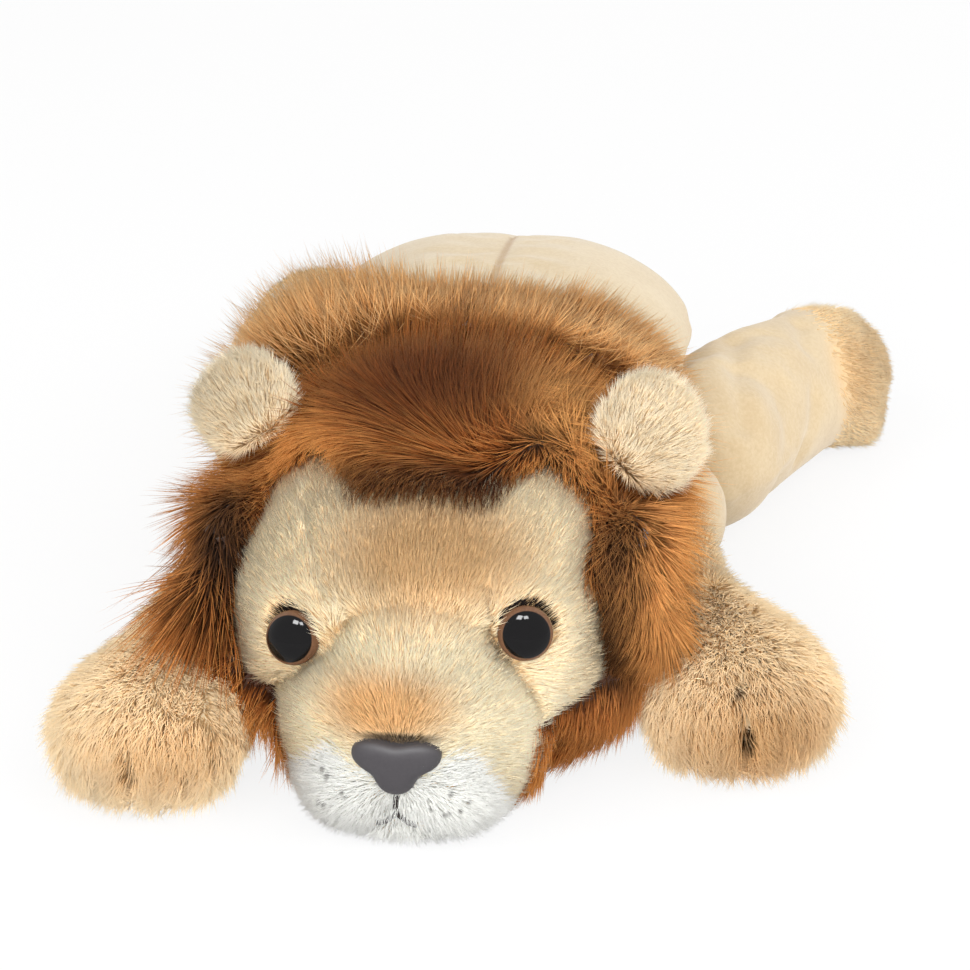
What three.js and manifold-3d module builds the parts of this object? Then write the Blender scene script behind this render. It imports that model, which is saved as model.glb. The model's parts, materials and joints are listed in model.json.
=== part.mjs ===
import * as THREE from 'three';
import { mergeVertices } from 'three/addons/utils/BufferGeometryUtils.js';
import Module from 'manifold-3d';

// A plush lion that lies flat, chin on the floor, built of sewn covers, fillings and a long-pile mane.
// The model is laid out with the chin at zero, the nose towards -Y and the tail towards +Y, and is moved
// at the end so that the middle of its footprint is at zero. Lengths are millimetres.

const wasm = await Module();
wasm.setup();

// Cloth, seams and clearances
const clothThickness = 2.5;
const seamGap = 0.3;
const motionGap = 0.35;
const limbRoom = 0.9;
const floorPress = 0.5;
const overrun = 6;
const reach = 1400;
const turnSteps = 2;

// Neck, where the round back of the head sits in the hollow front of the body
const neckBack = 118;
const neckHeight = 44;
const neckRadius = 40;
const neckHalfWidth = 45;
const neckSides = 16;
const headLiftDegrees = 15;
const neckOpeningRadius = 22;

// Body
const neckFit = 0.5;
const bodyFront = neckBack + neckFit;
const bodyLength = 165;
const rumpBack = bodyFront + bodyLength;
const bodyHalfWidth = 58;
const bodyHeight = 79;
const bellySeamHeight = 13;
const bodyFullnessShare = 0.9;
const bodySides = 18;
const pelletBagLength = 78;
const pelletBagWidth = 44;
const pelletBagHeight = 18;
const pelletBagRiseShare = 0.33;
const pelletBagBack = rumpBack - pelletBagLength;

// Head
const faceFront = 16;
const faceHalfWidth = 50;
const headHeight = 82.5;
const headFullnessShare = 0.92;
const headSides = 16;
const hairlineBack = 47;
const hairlineHeight = 72;
const jawlineBack = 33;

// Muzzle
const muzzleBack = 31;
const muzzleHeight = 21;
const muzzleHalfWidth = 34.5;
const muzzleLength = 31;
const muzzleRise = 31;
const lobeSpread = 12;
const lobeBack = 12;
const lobeHeight = 13;
const lobeHalfWidth = 14;
const lobeLength = 13.5;
const lobeRise = 12.5;
const chinHeight = 6.5;
const chinHalfWidth = 13;
const muzzleSides = 15;
const lobeSides = 10;
const whiteBorder = 1.5;

// Eyes and their washers
const eyeRadius = 7;
const eyeDomeHeight = 4.6;
const eyeRimHeight = 1.4;
const eyeSpread = 29;
const eyeHeight = 47.2;
const eyeTilt = 2.3;
const eyeShankRadius = 2.4;
const eyeShankLength = 9;
const eyeSink = 1.2;
const eyeSides = 12;
const rodSides = 16;
const eyeDomeSteps = 4;
const eyeOutDegrees = 22;
const eyeUpDegrees = 14;
const washerRadius = 8;
const washerThickness = 1.6;
const washerDepth = 4.2;

// Nose and mouth
const noseWidth = 23;
const noseHeight = 13;
const noseTop = 28.5;
const noseDepth = 5;
const noseRound = 1.4;
const noseRoundSteps = 2;
const noseBendSteps = 4;
const noseSink = 2;
const noseShankRadius = 2.6;
const noseShankLength = 10;
const noseWasherDepth = 5.5;
const threadRadius = 0.7;
const mouthHeight = 9;
const mouthHalfWidth = 5;
const mouthDrop = 3;
const mouthCurveShare = 0.8;
const threadSteps = 3;
const threadBendSteps = 2;

// Ears
const earSpread = 53;
const earBack = 87;
const earHeight = 77;
const earHalfWidth = 14.5;
const earRise = 14.5;
const earHalfThickness = 4.5;
const earTurnDegrees = 18;
const earLeanDegrees = 22;
const earRollDegrees = 26;
const earSides = 14;
const earRings = 7;

// Mane
const maneFront = 28;
const maneLength = 137;
const maneHalfWidth = 74;
const maneTop = 94;
const maneBottom = 17;
const maneFullnessShare = 0.88;
const maneSides = 18;
const crownHalfWidth = 41;
const crownLow = 58;
const flapTop = 64;
const crownOverhang = 1.5;
const flapOverhang = 0.5;
const jawLobeRadius = 12.5;
const jawSides = 10;
const jawFrontSpread = 35;
const jawFrontBack = 37;
const jawRearSpread = 52;
const jawRearBack = 62;
const jawHeight = 14;

// Front legs
const shoulderSpread = 52;
const shoulderToNeck = 28;
const shoulderBack = neckBack + shoulderToNeck;
const shoulderHeight = 26;
const shoulderRadius = 19;
const armRadius = 13;
const pawLength = 54;
const pawHalfWidth = 26;
const pawHalfHeight = 15.5;
const rightPawSpread = 68;
const rightPawFront = 4;
const leftPawSpread = 84;
const leftPawFront = 40;
const rightElbowShares = { out: 0.7, forward: 2.7, height: 1.35, wristIn: 0.2, wristBack: 1 };
const leftElbowShares = { out: 0.6, forward: 2.6, height: 1.3, wristIn: 0.6, wristBack: 0.7 };
const legSides = 12;
const plugSides = 12;
const frontLegOutDegrees = 20;

// Hind legs
const hipSpread = 59;
const hipToRump = 90;
const hipBack = rumpBack - hipToRump;
const hipHeight = 26;
const hipRadius = 26.5;
const thighRadius = 23;
const footLength = 40;
const footHalfWidth = 20.5;
const footHalfHeight = 21;
const leftFootSpread = 107;
const leftFootReach = 77.5;
const leftFootBack = hipBack + leftFootReach;
const rightFootSpread = 65;
const rightFootReach = 97.5;
const rightFootBack = hipBack + rightFootReach;
const rightKneeShares = { in: 0.1, back: 1 };
const leftKneeShares = { out: 0.3, back: 1, height: 0.95, ankleIn: 0.6, ankleForward: 0.4 };
const hindLegOutDegrees = 15;

// Toes
const toeRadius = 10.5;
const toeRiseShare = 1.1;
const hindToeShare = 0.8;
const toeCount = 4;
const toeSides = 8;
const toeRings = 4;
const ballSides = 16;
const ballRings = 8;
const toeFanDegrees = 68;

// Tail
const tailInset = 4.5;
const tailBack = rumpBack - tailInset;
const tailHeight = 29;
const tailRootRadius = 10;
const tailRadius = 6.5;
const tailBehindFoot = 27;
const tailReachBack = rightFootBack + tailBehindFoot;
const tailReachSide = 44;
const tailBendShares = { rootBack: 1.6, rootHeight: 0.66, kneeSide: 0.12, kneeRise: 1.4, farSide: 0.45 };
const tuftLength = 34;
const tuftRadius = 11.5;
const tailSides = 10;
const tuftSides = 14;
const tailSwingDegrees = 25;
const tailCurlDegrees = 3;
const rootOpeningShare = 0.55;

// Turns a closed mesh into a solid that can be cut and joined.
function solidOf(geometry) {
  const bare = geometry.clone();
  bare.deleteAttribute('normal');
  bare.deleteAttribute('uv');
  const merged = mergeVertices(bare);
  const vertProperties = Float32Array.from(merged.attributes.position.array);
  const triVerts = Uint32Array.from(merged.index.array);
  return new wasm.Manifold(new wasm.Mesh({ numProp: 3, vertProperties, triVerts }));
}

// Turns a solid back into a mesh.
function geometryOf(solid) {
  const { vertProperties, triVerts } = solid.getMesh();
  const geometry = new THREE.BufferGeometry();
  geometry.setAttribute('position', new THREE.BufferAttribute(Float32Array.from(vertProperties), 3));
  geometry.setIndex(new THREE.BufferAttribute(Uint32Array.from(triVerts), 1));
  return geometry;
}

// Moves every point of a closed mesh along its own normal, outwards where the distance is positive.
function grown(geometry, distance) {
  const bare = geometry.clone();
  bare.deleteAttribute('normal');
  bare.deleteAttribute('uv');
  const merged = mergeVertices(bare);
  merged.computeVertexNormals();
  const place = merged.attributes.position;
  const normal = merged.attributes.normal;
  for (let i = 0; i < place.count; i += 1) {
    place.setXYZ(
      i,
      place.getX(i) + normal.getX(i) * distance,
      place.getY(i) + normal.getY(i) * distance,
      place.getZ(i) + normal.getZ(i) * distance,
    );
  }
  return merged;
}

// A closed body through rings of equal count, with a single point at each end.
function skinOfRings(firstPoint, rings, lastPoint) {
  const sides = rings[0].length;
  const points = [firstPoint, ...rings.flat(), lastPoint];
  const positions = points.flatMap((point) => point.toArray());
  const index = [];
  const at = (ring, side) => 1 + ring * sides + (side % sides);
  const last = points.length - 1;
  for (let side = 0; side < sides; side += 1) {
    index.push(0, at(0, side), at(0, side + 1));
    for (let ring = 0; ring + 1 < rings.length; ring += 1) {
      index.push(at(ring, side), at(ring + 1, side), at(ring + 1, side + 1));
      index.push(at(ring, side), at(ring + 1, side + 1), at(ring, side + 1));
    }
    index.push(last, at(rings.length - 1, side + 1), at(rings.length - 1, side));
  }
  const geometry = new THREE.BufferGeometry();
  geometry.setAttribute('position', new THREE.Float32BufferAttribute(positions, 3));
  geometry.setIndex(index);
  return geometry;
}

// A rounded slice: an ellipse squared a little towards a box by its fullness.
function slice(centre, side, up, halfWidth, rise, drop, sides, fullness = 1) {
  const ring = [];
  for (let i = 0; i < sides; i += 1) {
    const angle = (i / sides) * Math.PI * 2;
    const across = Math.sign(Math.cos(angle)) * Math.abs(Math.cos(angle)) ** fullness;
    const upward = Math.sign(Math.sin(angle)) * Math.abs(Math.sin(angle)) ** fullness;
    ring.push(
      centre.clone()
        .addScaledVector(side, across * halfWidth)
        .addScaledVector(up, upward * (upward > 0 ? rise : drop)),
    );
  }
  return ring;
}

// A body along Y. Each row holds its place along the length, its half width, and its top and bottom.
function bodyAlongY(rows, sides, fullness) {
  const side = new THREE.Vector3(1, 0, 0);
  const up = new THREE.Vector3(0, 0, 1);
  const middleOf = (row) => new THREE.Vector3(0, row.back, (row.top + row.bottom) / 2);
  const rings = rows.slice(1, -1).map((row) => {
    const half = (row.top - row.bottom) / 2;
    return slice(middleOf(row), side, up, row.halfWidth, half, half, sides, fullness);
  });
  return skinOfRings(middleOf(rows[0]), rings, middleOf(rows[rows.length - 1]));
}

// A body swept along a curve. Each row holds its distance along the curve, half width and half height.
function sweep(curve, rows, sides) {
  const length = curve.getLength();
  const vertical = new THREE.Vector3(0, 0, 1);
  const rings = [];
  for (const row of rows) {
    const share = row.along / length;
    const tangent = curve.getTangentAt(share);
    const side = new THREE.Vector3().crossVectors(tangent, vertical).normalize();
    const up = new THREE.Vector3().crossVectors(side, tangent);
    rings.push(slice(curve.getPointAt(share), side, up, row.halfWidth, row.halfHeight, row.halfHeight, sides));
  }
  return skinOfRings(curve.getPointAt(0), rings, curve.getPointAt(1));
}

// A ball or ellipsoid whose poles lie along the named axis.
function ball(centre, radii, sides, rings, axis) {
  const geometry = new THREE.SphereGeometry(1, sides, rings);
  if (axis === 'x') geometry.rotateZ(Math.PI / 2);
  if (axis === 'z') geometry.rotateX(Math.PI / 2);
  geometry.scale(radii.x, radii.y, radii.z);
  geometry.translate(centre.x, centre.y, centre.z);
  return geometry;
}

// A faceted hollow whose flats stay clear of the ball that turns in it.
function socketSize(radius, gap, sides) {
  return (radius + gap) / Math.cos(Math.PI / sides);
}

// A block between two corners.
function block(low, high) {
  const size = new THREE.Vector3().subVectors(high, low);
  const geometry = new THREE.BoxGeometry(size.x, size.y, size.z);
  geometry.translate((low.x + high.x) / 2, (low.y + high.y) / 2, (low.z + high.z) / 2);
  return solidOf(geometry);
}

// A large block on the side of a plane that its normal points to.
function halfSpace(point, normal) {
  const geometry = new THREE.BoxGeometry(reach, reach, reach);
  geometry.translate(0, 0, reach / 2);
  const turn = new THREE.Quaternion().setFromUnitVectors(new THREE.Vector3(0, 0, 1), normal.clone().normalize());
  geometry.applyQuaternion(turn);
  geometry.translate(point.x, point.y, point.z);
  return solidOf(geometry);
}

// The solid turned about an upright or sideways line through a point.
function turned(solid, pivot, axis, degrees) {
  const turns = { x: [degrees, 0, 0], z: [0, 0, degrees] };
  return solid
    .translate([-pivot.x, -pivot.y, -pivot.z])
    .rotate(turns[axis])
    .translate([pivot.x, pivot.y, pivot.z]);
}

// The biggest of the separate lumps that a cut has left.
function largest(solid) {
  return solid.decompose().reduce((best, lump) => (lump.volume() > best.volume() ? lump : best));
}

const floorTop = new THREE.Vector3(0, 0, 0);
const aboveFloor = halfSpace(floorTop, new THREE.Vector3(0, 0, 1));

// Forms

const bodySliceShares = [
  { along: -0.06, wide: 0, top: 0.7 },
  { along: 0, wide: 0.86, top: 0.86 },
  { along: 0.15, wide: 0.93, top: 0.94 },
  { along: 0.3, wide: 0.98, top: 0.99 },
  { along: 0.48, wide: 1, top: 1 },
  { along: 0.65, wide: 0.97, top: 0.95 },
  { along: 0.79, wide: 0.86, top: 0.84 },
  { along: 0.9, wide: 0.66, top: 0.68 },
  { along: 0.965, wide: 0.42, top: 0.55 },
  { along: 0.995, wide: 0.18, top: 0.45 },
  { along: 1, wide: 0, top: 0.42 },
];
const bodyBottomShares = [0.2, 0, 0, 0, 0, 0, 0, 0.04, 0.12, 0.2, 0.26];

function bodyForm(sides) {
  const rows = bodySliceShares.map((share, i) => ({
    back: bodyFront + share.along * bodyLength,
    halfWidth: share.wide * bodyHalfWidth,
    top: share.top * bodyHeight,
    bottom: bodyBottomShares[i] * bodyHeight - floorPress,
  }));
  return bodyAlongY(rows, sides, bodyFullnessShare);
}

const headSliceShares = [
  { along: 0, wide: 0, top: 0.55, bottom: 0.51 },
  { along: 0.015, wide: 0.3, top: 0.64, bottom: 0.42 },
  { along: 0.05, wide: 0.56, top: 0.72, bottom: 0.29 },
  { along: 0.12, wide: 0.79, top: 0.79, bottom: 0.15 },
  { along: 0.22, wide: 0.94, top: 0.86, bottom: 0.04 },
  { along: 0.34, wide: 0.99, top: 0.93, bottom: 0 },
  { along: 0.53, wide: 0.98, top: 0.985, bottom: 0 },
  { along: 0.77, wide: 0.93, top: 1, bottom: 0 },
  { along: 0.9, wide: 0.89, top: 1, bottom: 0.01 },
  { along: 0.99, wide: 0.86, top: 1, bottom: 0.05 },
  { along: 1, wide: 0, top: 0.9, bottom: 0.2 },
];

function headFrontForm(sides) {
  const length = neckBack - faceFront;
  const rows = headSliceShares.map((share) => ({
    back: faceFront + share.along * length,
    halfWidth: share.wide * faceHalfWidth,
    top: share.top * headHeight,
    bottom: share.bottom * headHeight - floorPress,
  }));
  return bodyAlongY(rows, sides, headFullnessShare);
}

const neckPivot = new THREE.Vector3(0, neckBack, neckHeight);

function neckBall(extra, sides) {
  const radii = new THREE.Vector3(neckHalfWidth + extra, neckRadius + extra, neckRadius + extra);
  return ball(neckPivot, radii, sides, sides / 2, 'x');
}

function neckSocket() {
  const radius = socketSize(neckRadius, motionGap, neckSides);
  const radii = new THREE.Vector3(neckHalfWidth + motionGap, radius, radius);
  return ball(neckPivot, radii, neckSides, neckSides / 2, 'x');
}

function headSolid(extra, sides = headSides) {
  return solidOf(grown(headFrontForm(sides), extra)).add(solidOf(neckBall(extra, sides)));
}

function muzzleForm(sides = muzzleSides) {
  const centre = new THREE.Vector3(0, muzzleBack, muzzleHeight);
  const radii = new THREE.Vector3(muzzleHalfWidth, muzzleLength, muzzleRise);
  return ball(centre, radii, sides, (sides * 2) / 3, 'z');
}

function muzzleLobe(sign) {
  const centre = new THREE.Vector3(sign * lobeSpread, lobeBack, lobeHeight);
  return ball(centre, new THREE.Vector3(lobeHalfWidth, lobeLength, lobeRise), lobeSides, lobeSides / 2, 'z');
}

function chinLobe() {
  const centre = new THREE.Vector3(0, lobeBack, chinHeight / 2);
  return ball(centre, new THREE.Vector3(chinHalfWidth, lobeLength, chinHeight), lobeSides, lobeSides / 2, 'z');
}

const maneSliceShares = [
  { along: 0, wide: 0, rise: 0.5, drop: 0.5 },
  { along: 0.02, wide: 0.62, rise: 0.66, drop: 0.6 },
  { along: 0.08, wide: 0.78, rise: 0.77, drop: 0.85 },
  { along: 0.17, wide: 0.91, rise: 0.87, drop: 0.97 },
  { along: 0.28, wide: 0.98, rise: 0.94, drop: 1 },
  { along: 0.45, wide: 0.96, rise: 0.99, drop: 1 },
  { along: 0.68, wide: 0.9, rise: 1, drop: 1 },
  { along: 0.84, wide: 0.85, rise: 0.99, drop: 0.95 },
  { along: 0.94, wide: 0.76, rise: 0.93, drop: 0.85 },
  { along: 0.99, wide: 0.6, rise: 0.82, drop: 0.7 },
  { along: 1, wide: 0, rise: 0.6, drop: 0.5 },
];

function maneForm() {
  const middle = (maneTop + maneBottom) / 2;
  const half = (maneTop - maneBottom) / 2;
  const rows = maneSliceShares.map((share) => ({
    back: maneFront + share.along * maneLength,
    halfWidth: share.wide * maneHalfWidth,
    top: middle + half * (2 * share.rise - 1),
    bottom: middle - half * share.drop,
  }));
  return bodyAlongY(rows, maneSides, maneFullnessShare);
}

function jawForm(sign) {
  const front = new THREE.Vector3(sign * jawFrontSpread, jawFrontBack, jawHeight - floorPress);
  const rear = new THREE.Vector3(sign * jawRearSpread, jawRearBack, jawHeight + jawLobeRadius / 2);
  const curve = new THREE.LineCurve3(front, rear);
  return capsule(curve, jawLobeRadius, jawSides);
}

// A sausage along a curve whose ends bulge past it by its own radius.
function capsule(curve, radius, sides) {
  const radii = new THREE.Vector3(radius, radius, radius);
  const start = ball(curve.getPointAt(0), radii, sides, sides / 2, 'z');
  const end = ball(curve.getPointAt(1), radii, sides, sides / 2, 'z');
  const rows = [
    { along: 0, halfWidth: radius, halfHeight: radius },
    { along: curve.getLength(), halfWidth: radius, halfHeight: radius },
  ];
  return solidOf(start).add(solidOf(end)).add(solidOf(sweep(curve, rows, sides)));
}

// Limbs

const limbSliceShares = [
  { arm: 0, paw: 0, girth: 0.9, spread: 0 },
  { arm: 0.3, paw: 0, girth: 1, spread: 0 },
  { arm: 0.65, paw: 0, girth: 1, spread: 0.05 },
  { arm: 1, paw: 0, girth: 1, spread: 0.3 },
  { arm: 1, paw: 0.22, girth: 1, spread: 0.75 },
  { arm: 1, paw: 0.48, girth: 1, spread: 1 },
  { arm: 1, paw: 0.72, girth: 0.93, spread: 1 },
  { arm: 1, paw: 0.88, girth: 0.72, spread: 1 },
  { arm: 1, paw: 0.97, girth: 0.42, spread: 1 },
];

function limbForm(limb, sides = legSides) {
  const length = limb.curve.getLength();
  const armLength = length - limb.pawLength;
  const rows = limbSliceShares.map((share) => {
    const width = THREE.MathUtils.lerp(limb.radius, limb.pawHalfWidth, share.spread);
    const height = THREE.MathUtils.lerp(limb.radius, limb.pawHalfHeight, share.spread);
    return {
      along: share.arm * armLength + share.paw * limb.pawLength,
      halfWidth: width * share.girth,
      halfHeight: height * share.girth,
    };
  });
  return sweep(limb.curve, rows, sides);
}

function rootBall(limb) {
  const radius = limb.rootRadius;
  return ball(limb.root, new THREE.Vector3(radius, radius, radius), ballSides, ballRings, 'z');
}

function rootSocket(limb) {
  const radius = socketSize(limb.rootRadius, motionGap, ballSides);
  return ball(limb.root, new THREE.Vector3(radius, radius, radius), ballSides, ballRings, 'z');
}

// The toes fan out round the front of the paw.
function toes(limb) {
  const end = limb.curve.getPointAt(1);
  const tangent = limb.curve.getTangentAt(1);
  const forward = Math.atan2(tangent.y, tangent.x);
  const middle = end.clone().addScaledVector(tangent, -limb.pawHalfWidth);
  const lumps = [];
  for (let i = 0; i < toeCount; i += 1) {
    const share = (2 * i + 1) / toeCount - 1;
    const angle = forward + THREE.MathUtils.degToRad(toeFanDegrees * share);
    const out = limb.pawHalfWidth - limb.toeRadius;
    const rise = limb.toeRadius * toeRiseShare;
    const centre = new THREE.Vector3(
      middle.x + Math.cos(angle) * out,
      middle.y + Math.sin(angle) * out,
      rise - floorPress,
    );
    const radii = new THREE.Vector3(limb.toeRadius, limb.toeRadius, rise);
    lumps.push(solidOf(ball(centre, radii, toeSides, toeRings, 'z')));
  }
  return lumps;
}

function limbSolid(limb) {
  return solidOf(limbForm(limb)).add(solidOf(rootBall(limb)));
}

// The space that the head takes at rest and as it is lifted.
function liftedHead(extra) {
  const places = [];
  for (let i = 0; i <= turnSteps; i += 1) {
    places.push(turned(headSolid(extra), neckPivot, 'x', -headLiftDegrees * (i / turnSteps)));
  }
  return places;
}

function cut(solid, cutters) {
  return cutters.reduce((left, cutter) => left.subtract(cutter), solid);
}

// A plainer and slightly larger limb, which the space for the limb's motion is cut with.
function limbClearance(limb) {
  const sides = legSides / 2 + 1;
  const extra = limbRoom + limb.pawHalfWidth * (1 / Math.cos(Math.PI / sides) - 1);
  return solidOf(grown(limbForm(limb, sides), extra));
}

function legCurve(points) {
  return new THREE.CatmullRomCurve3(points, false, 'centripetal');
}

const pawHeight = pawHalfHeight - floorPress;
const footHeight = footHalfHeight - floorPress;

const limbs = {
  front_right: {
    root: new THREE.Vector3(-shoulderSpread, shoulderBack, shoulderHeight),
    curve: legCurve([
      new THREE.Vector3(-shoulderSpread, shoulderBack, shoulderHeight),
      new THREE.Vector3(
        -shoulderSpread - armRadius * rightElbowShares.out,
        shoulderBack - armRadius * rightElbowShares.forward,
        armRadius * rightElbowShares.height,
      ),
      new THREE.Vector3(
        -rightPawSpread + armRadius * rightElbowShares.wristIn,
        rightPawFront + pawLength * rightElbowShares.wristBack,
        pawHeight,
      ),
      new THREE.Vector3(-rightPawSpread, rightPawFront, pawHeight),
    ]),
    swing: [0, -frontLegOutDegrees],
  },
  front_left: {
    root: new THREE.Vector3(shoulderSpread, shoulderBack, shoulderHeight),
    curve: legCurve([
      new THREE.Vector3(shoulderSpread, shoulderBack, shoulderHeight),
      new THREE.Vector3(
        shoulderSpread + armRadius * leftElbowShares.out,
        shoulderBack - armRadius * leftElbowShares.forward,
        armRadius * leftElbowShares.height,
      ),
      new THREE.Vector3(
        leftPawSpread - armRadius * leftElbowShares.wristIn,
        leftPawFront + pawLength * leftElbowShares.wristBack,
        pawHeight,
      ),
      new THREE.Vector3(leftPawSpread, leftPawFront, pawHeight),
    ]),
    swing: [0, frontLegOutDegrees],
  },
  hind_right: {
    root: new THREE.Vector3(-hipSpread, hipBack, hipHeight),
    curve: legCurve([
      new THREE.Vector3(-hipSpread, hipBack, hipHeight),
      new THREE.Vector3(
        -rightFootSpread + footHalfWidth * rightKneeShares.in,
        hipBack + hipRadius * rightKneeShares.back,
        hipHeight,
      ),
      new THREE.Vector3(-rightFootSpread, rightFootBack - footLength, footHeight),
      new THREE.Vector3(-rightFootSpread, rightFootBack, footHeight),
    ]),
    swing: [0, hindLegOutDegrees],
  },
  hind_left: {
    root: new THREE.Vector3(hipSpread, hipBack, hipHeight),
    curve: legCurve([
      new THREE.Vector3(hipSpread, hipBack, hipHeight),
      new THREE.Vector3(
        hipSpread + hipRadius * leftKneeShares.out,
        hipBack + hipRadius * leftKneeShares.back,
        hipHeight * leftKneeShares.height,
      ),
      new THREE.Vector3(
        leftFootSpread - footLength * leftKneeShares.ankleIn,
        leftFootBack - footLength * leftKneeShares.ankleForward,
        footHeight,
      ),
      new THREE.Vector3(leftFootSpread, leftFootBack, footHeight),
    ]),
    swing: [hindLegOutDegrees, -hindLegOutDegrees],
  },
};

for (const [name, limb] of Object.entries(limbs)) {
  const front = name.startsWith('front');
  limb.rootRadius = front ? shoulderRadius : hipRadius;
  limb.radius = front ? armRadius : thighRadius;
  limb.pawLength = front ? pawLength : footLength;
  limb.pawHalfWidth = front ? pawHalfWidth : footHalfWidth;
  limb.pawHalfHeight = front ? pawHalfHeight : footHalfHeight;
  limb.toeRadius = front ? toeRadius : toeRadius * hindToeShare;
  limb.keptOff = (depth) => (front ? liftedHead(motionGap + depth) : []);
  const whole = toes(limb).reduce((form, toe) => form.add(toe), limbSolid(limb)).intersect(aboveFloor);
  limb.solid = cut(whole, limb.keptOff(0));
  limb.clearance = limbClearance(limb);
}

// Every position that a limb's clearance passes through between its limits.
function sweptClearance(limb) {
  const places = [];
  for (let i = 0; i <= turnSteps; i += 1) {
    const degrees = THREE.MathUtils.lerp(limb.swing[0], limb.swing[1], i / turnSteps);
    places.push(turned(limb.clearance, limb.root, 'z', degrees));
  }
  return places;
}

const lion = new THREE.Group();

function add(name, solid, finish) {
  const mesh = new THREE.Mesh(geometryOf(solid), new THREE.MeshStandardMaterial(finish));
  mesh.name = name;
  lion.add(mesh);
}

// Finishes
const plush = { roughness: 0.95, metalness: 0 };
const bodyPlush = { ...plush, color: '#e2c59c' };
const facePlush = { ...plush, color: '#dcb98c' };
const muzzlePlush = { ...plush, color: '#ecd3a6' };
const earPlush = { ...plush, color: '#e6cb9f' };
const pawPlush = { ...plush, color: '#d9b27a' };
const manePlush = { ...plush, color: '#96602f' };
const collarPlush = { ...plush, color: '#b07a42' };
const whitePlush = { ...plush, color: '#efefe6' };
const fibre = { ...plush, color: '#f4f2ea' };
const thread = { color: '#2c211d', roughness: 0.8, metalness: 0 };
const eyeGloss = { color: '#141312', roughness: 0.06, metalness: 0 };
const noseMatte = { color: '#474549', roughness: 0.7, metalness: 0 };
const washerPlastic = { color: '#d8d8d4', roughness: 0.45, metalness: 0 };
const pelletCloth = { color: '#c9c6bd', roughness: 0.9, metalness: 0 };

const xAxis = new THREE.Vector3(1, 0, 0);
const yAxis = new THREE.Vector3(0, 1, 0);
const zAxis = new THREE.Vector3(0, 0, 1);
const atHeight = (height) => new THREE.Vector3(0, 0, height);
const atBack = (back) => new THREE.Vector3(0, back, 0);
const above = (height) => halfSpace(atHeight(height), zAxis);
const below = (height) => halfSpace(atHeight(height), zAxis.clone().negate());
const onSide = (sign) => halfSpace(new THREE.Vector3(sign * seamGap / 2, 0, 0), xAxis.clone().multiplyScalar(sign));
const inset = clothThickness + seamGap;

// Head

function muzzleSolid(extra) {
  return [muzzleLobe(1), muzzleLobe(-1), chinLobe()].reduce(
    (whole, lobe) => whole.add(solidOf(grown(lobe, extra))),
    solidOf(grown(muzzleForm(), extra)),
  );
}

const faceSlope = new THREE.Vector3(0, -hairlineHeight, hairlineBack - jawlineBack).normalize();
const hairline = new THREE.Vector3(0, hairlineBack, hairlineHeight);
const inFrontOfHairline = (gap) => halfSpace(hairline.clone().addScaledVector(faceSlope, gap), faceSlope);
const behindHairline = (gap) => halfSpace(
  hairline.clone().addScaledVector(faceSlope, -gap),
  faceSlope.clone().negate(),
);

// A rod between two points.
function rod(start, end, radius, sides) {
  const direction = new THREE.Vector3().subVectors(end, start);
  const geometry = new THREE.CylinderGeometry(radius, radius, direction.length(), sides);
  geometry.applyQuaternion(new THREE.Quaternion().setFromUnitVectors(yAxis, direction.clone().normalize()));
  const middle = new THREE.Vector3().addVectors(start, end).multiplyScalar(1 / 2);
  geometry.translate(middle.x, middle.y, middle.z);
  return solidOf(geometry);
}

// The first point that a line from the front meets on a form, for what is pressed into its face.
function pointFromFront(geometry, x, z) {
  const mesh = new THREE.Mesh(geometry, new THREE.MeshBasicMaterial({ side: THREE.DoubleSide }));
  const ray = new THREE.Raycaster(new THREE.Vector3(x, -reach / 2, z), yAxis, 0, reach);
  return ray.intersectObject(mesh)[0].point;
}

// A turned piece whose axis starts at a point and leaves the face along a direction.
function turnedPiece(profile, place, direction, sides) {
  const geometry = new THREE.LatheGeometry(profile, sides);
  geometry.applyQuaternion(new THREE.Quaternion().setFromUnitVectors(yAxis, direction));
  geometry.translate(place.x, place.y, place.z);
  return solidOf(geometry);
}

function eyeProfile() {
  const points = [
    new THREE.Vector2(0, -eyeShankLength),
    new THREE.Vector2(eyeShankRadius, -eyeShankLength),
    new THREE.Vector2(eyeShankRadius, -eyeSink),
    new THREE.Vector2(eyeRadius - eyeRimHeight / 2, -eyeSink),
    new THREE.Vector2(eyeRadius, -eyeSink + eyeRimHeight / 2),
  ];
  for (let i = 0; i < eyeDomeSteps; i += 1) {
    const angle = (i / eyeDomeSteps) * (Math.PI / 2);
    points.push(new THREE.Vector2(
      eyeRadius * Math.cos(angle),
      eyeRimHeight - eyeSink + eyeDomeHeight * Math.sin(angle),
    ));
  }
  points.push(new THREE.Vector2(0, eyeRimHeight - eyeSink + eyeDomeHeight));
  return points;
}

function washerProfile(inner) {
  const half = washerThickness / 2;
  return [
    new THREE.Vector2(inner, -half),
    new THREE.Vector2(washerRadius, -half),
    new THREE.Vector2(washerRadius, half),
    new THREE.Vector2(inner, half),
    new THREE.Vector2(inner, -half),
  ];
}

// The seat pressed into the face behind an eye, with the hole for its shank.
function eyePocket(point, direction) {
  const depth = (distance) => point.clone().addScaledVector(direction, distance);
  const seat = rod(depth(-eyeSink - seamGap), depth(eyeDomeHeight), eyeRadius + seamGap, eyeSides);
  const hole = rod(depth(-eyeShankLength - seamGap), depth(0), eyeShankRadius + seamGap, eyeSides);
  return seat.add(hole);
}

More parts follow.
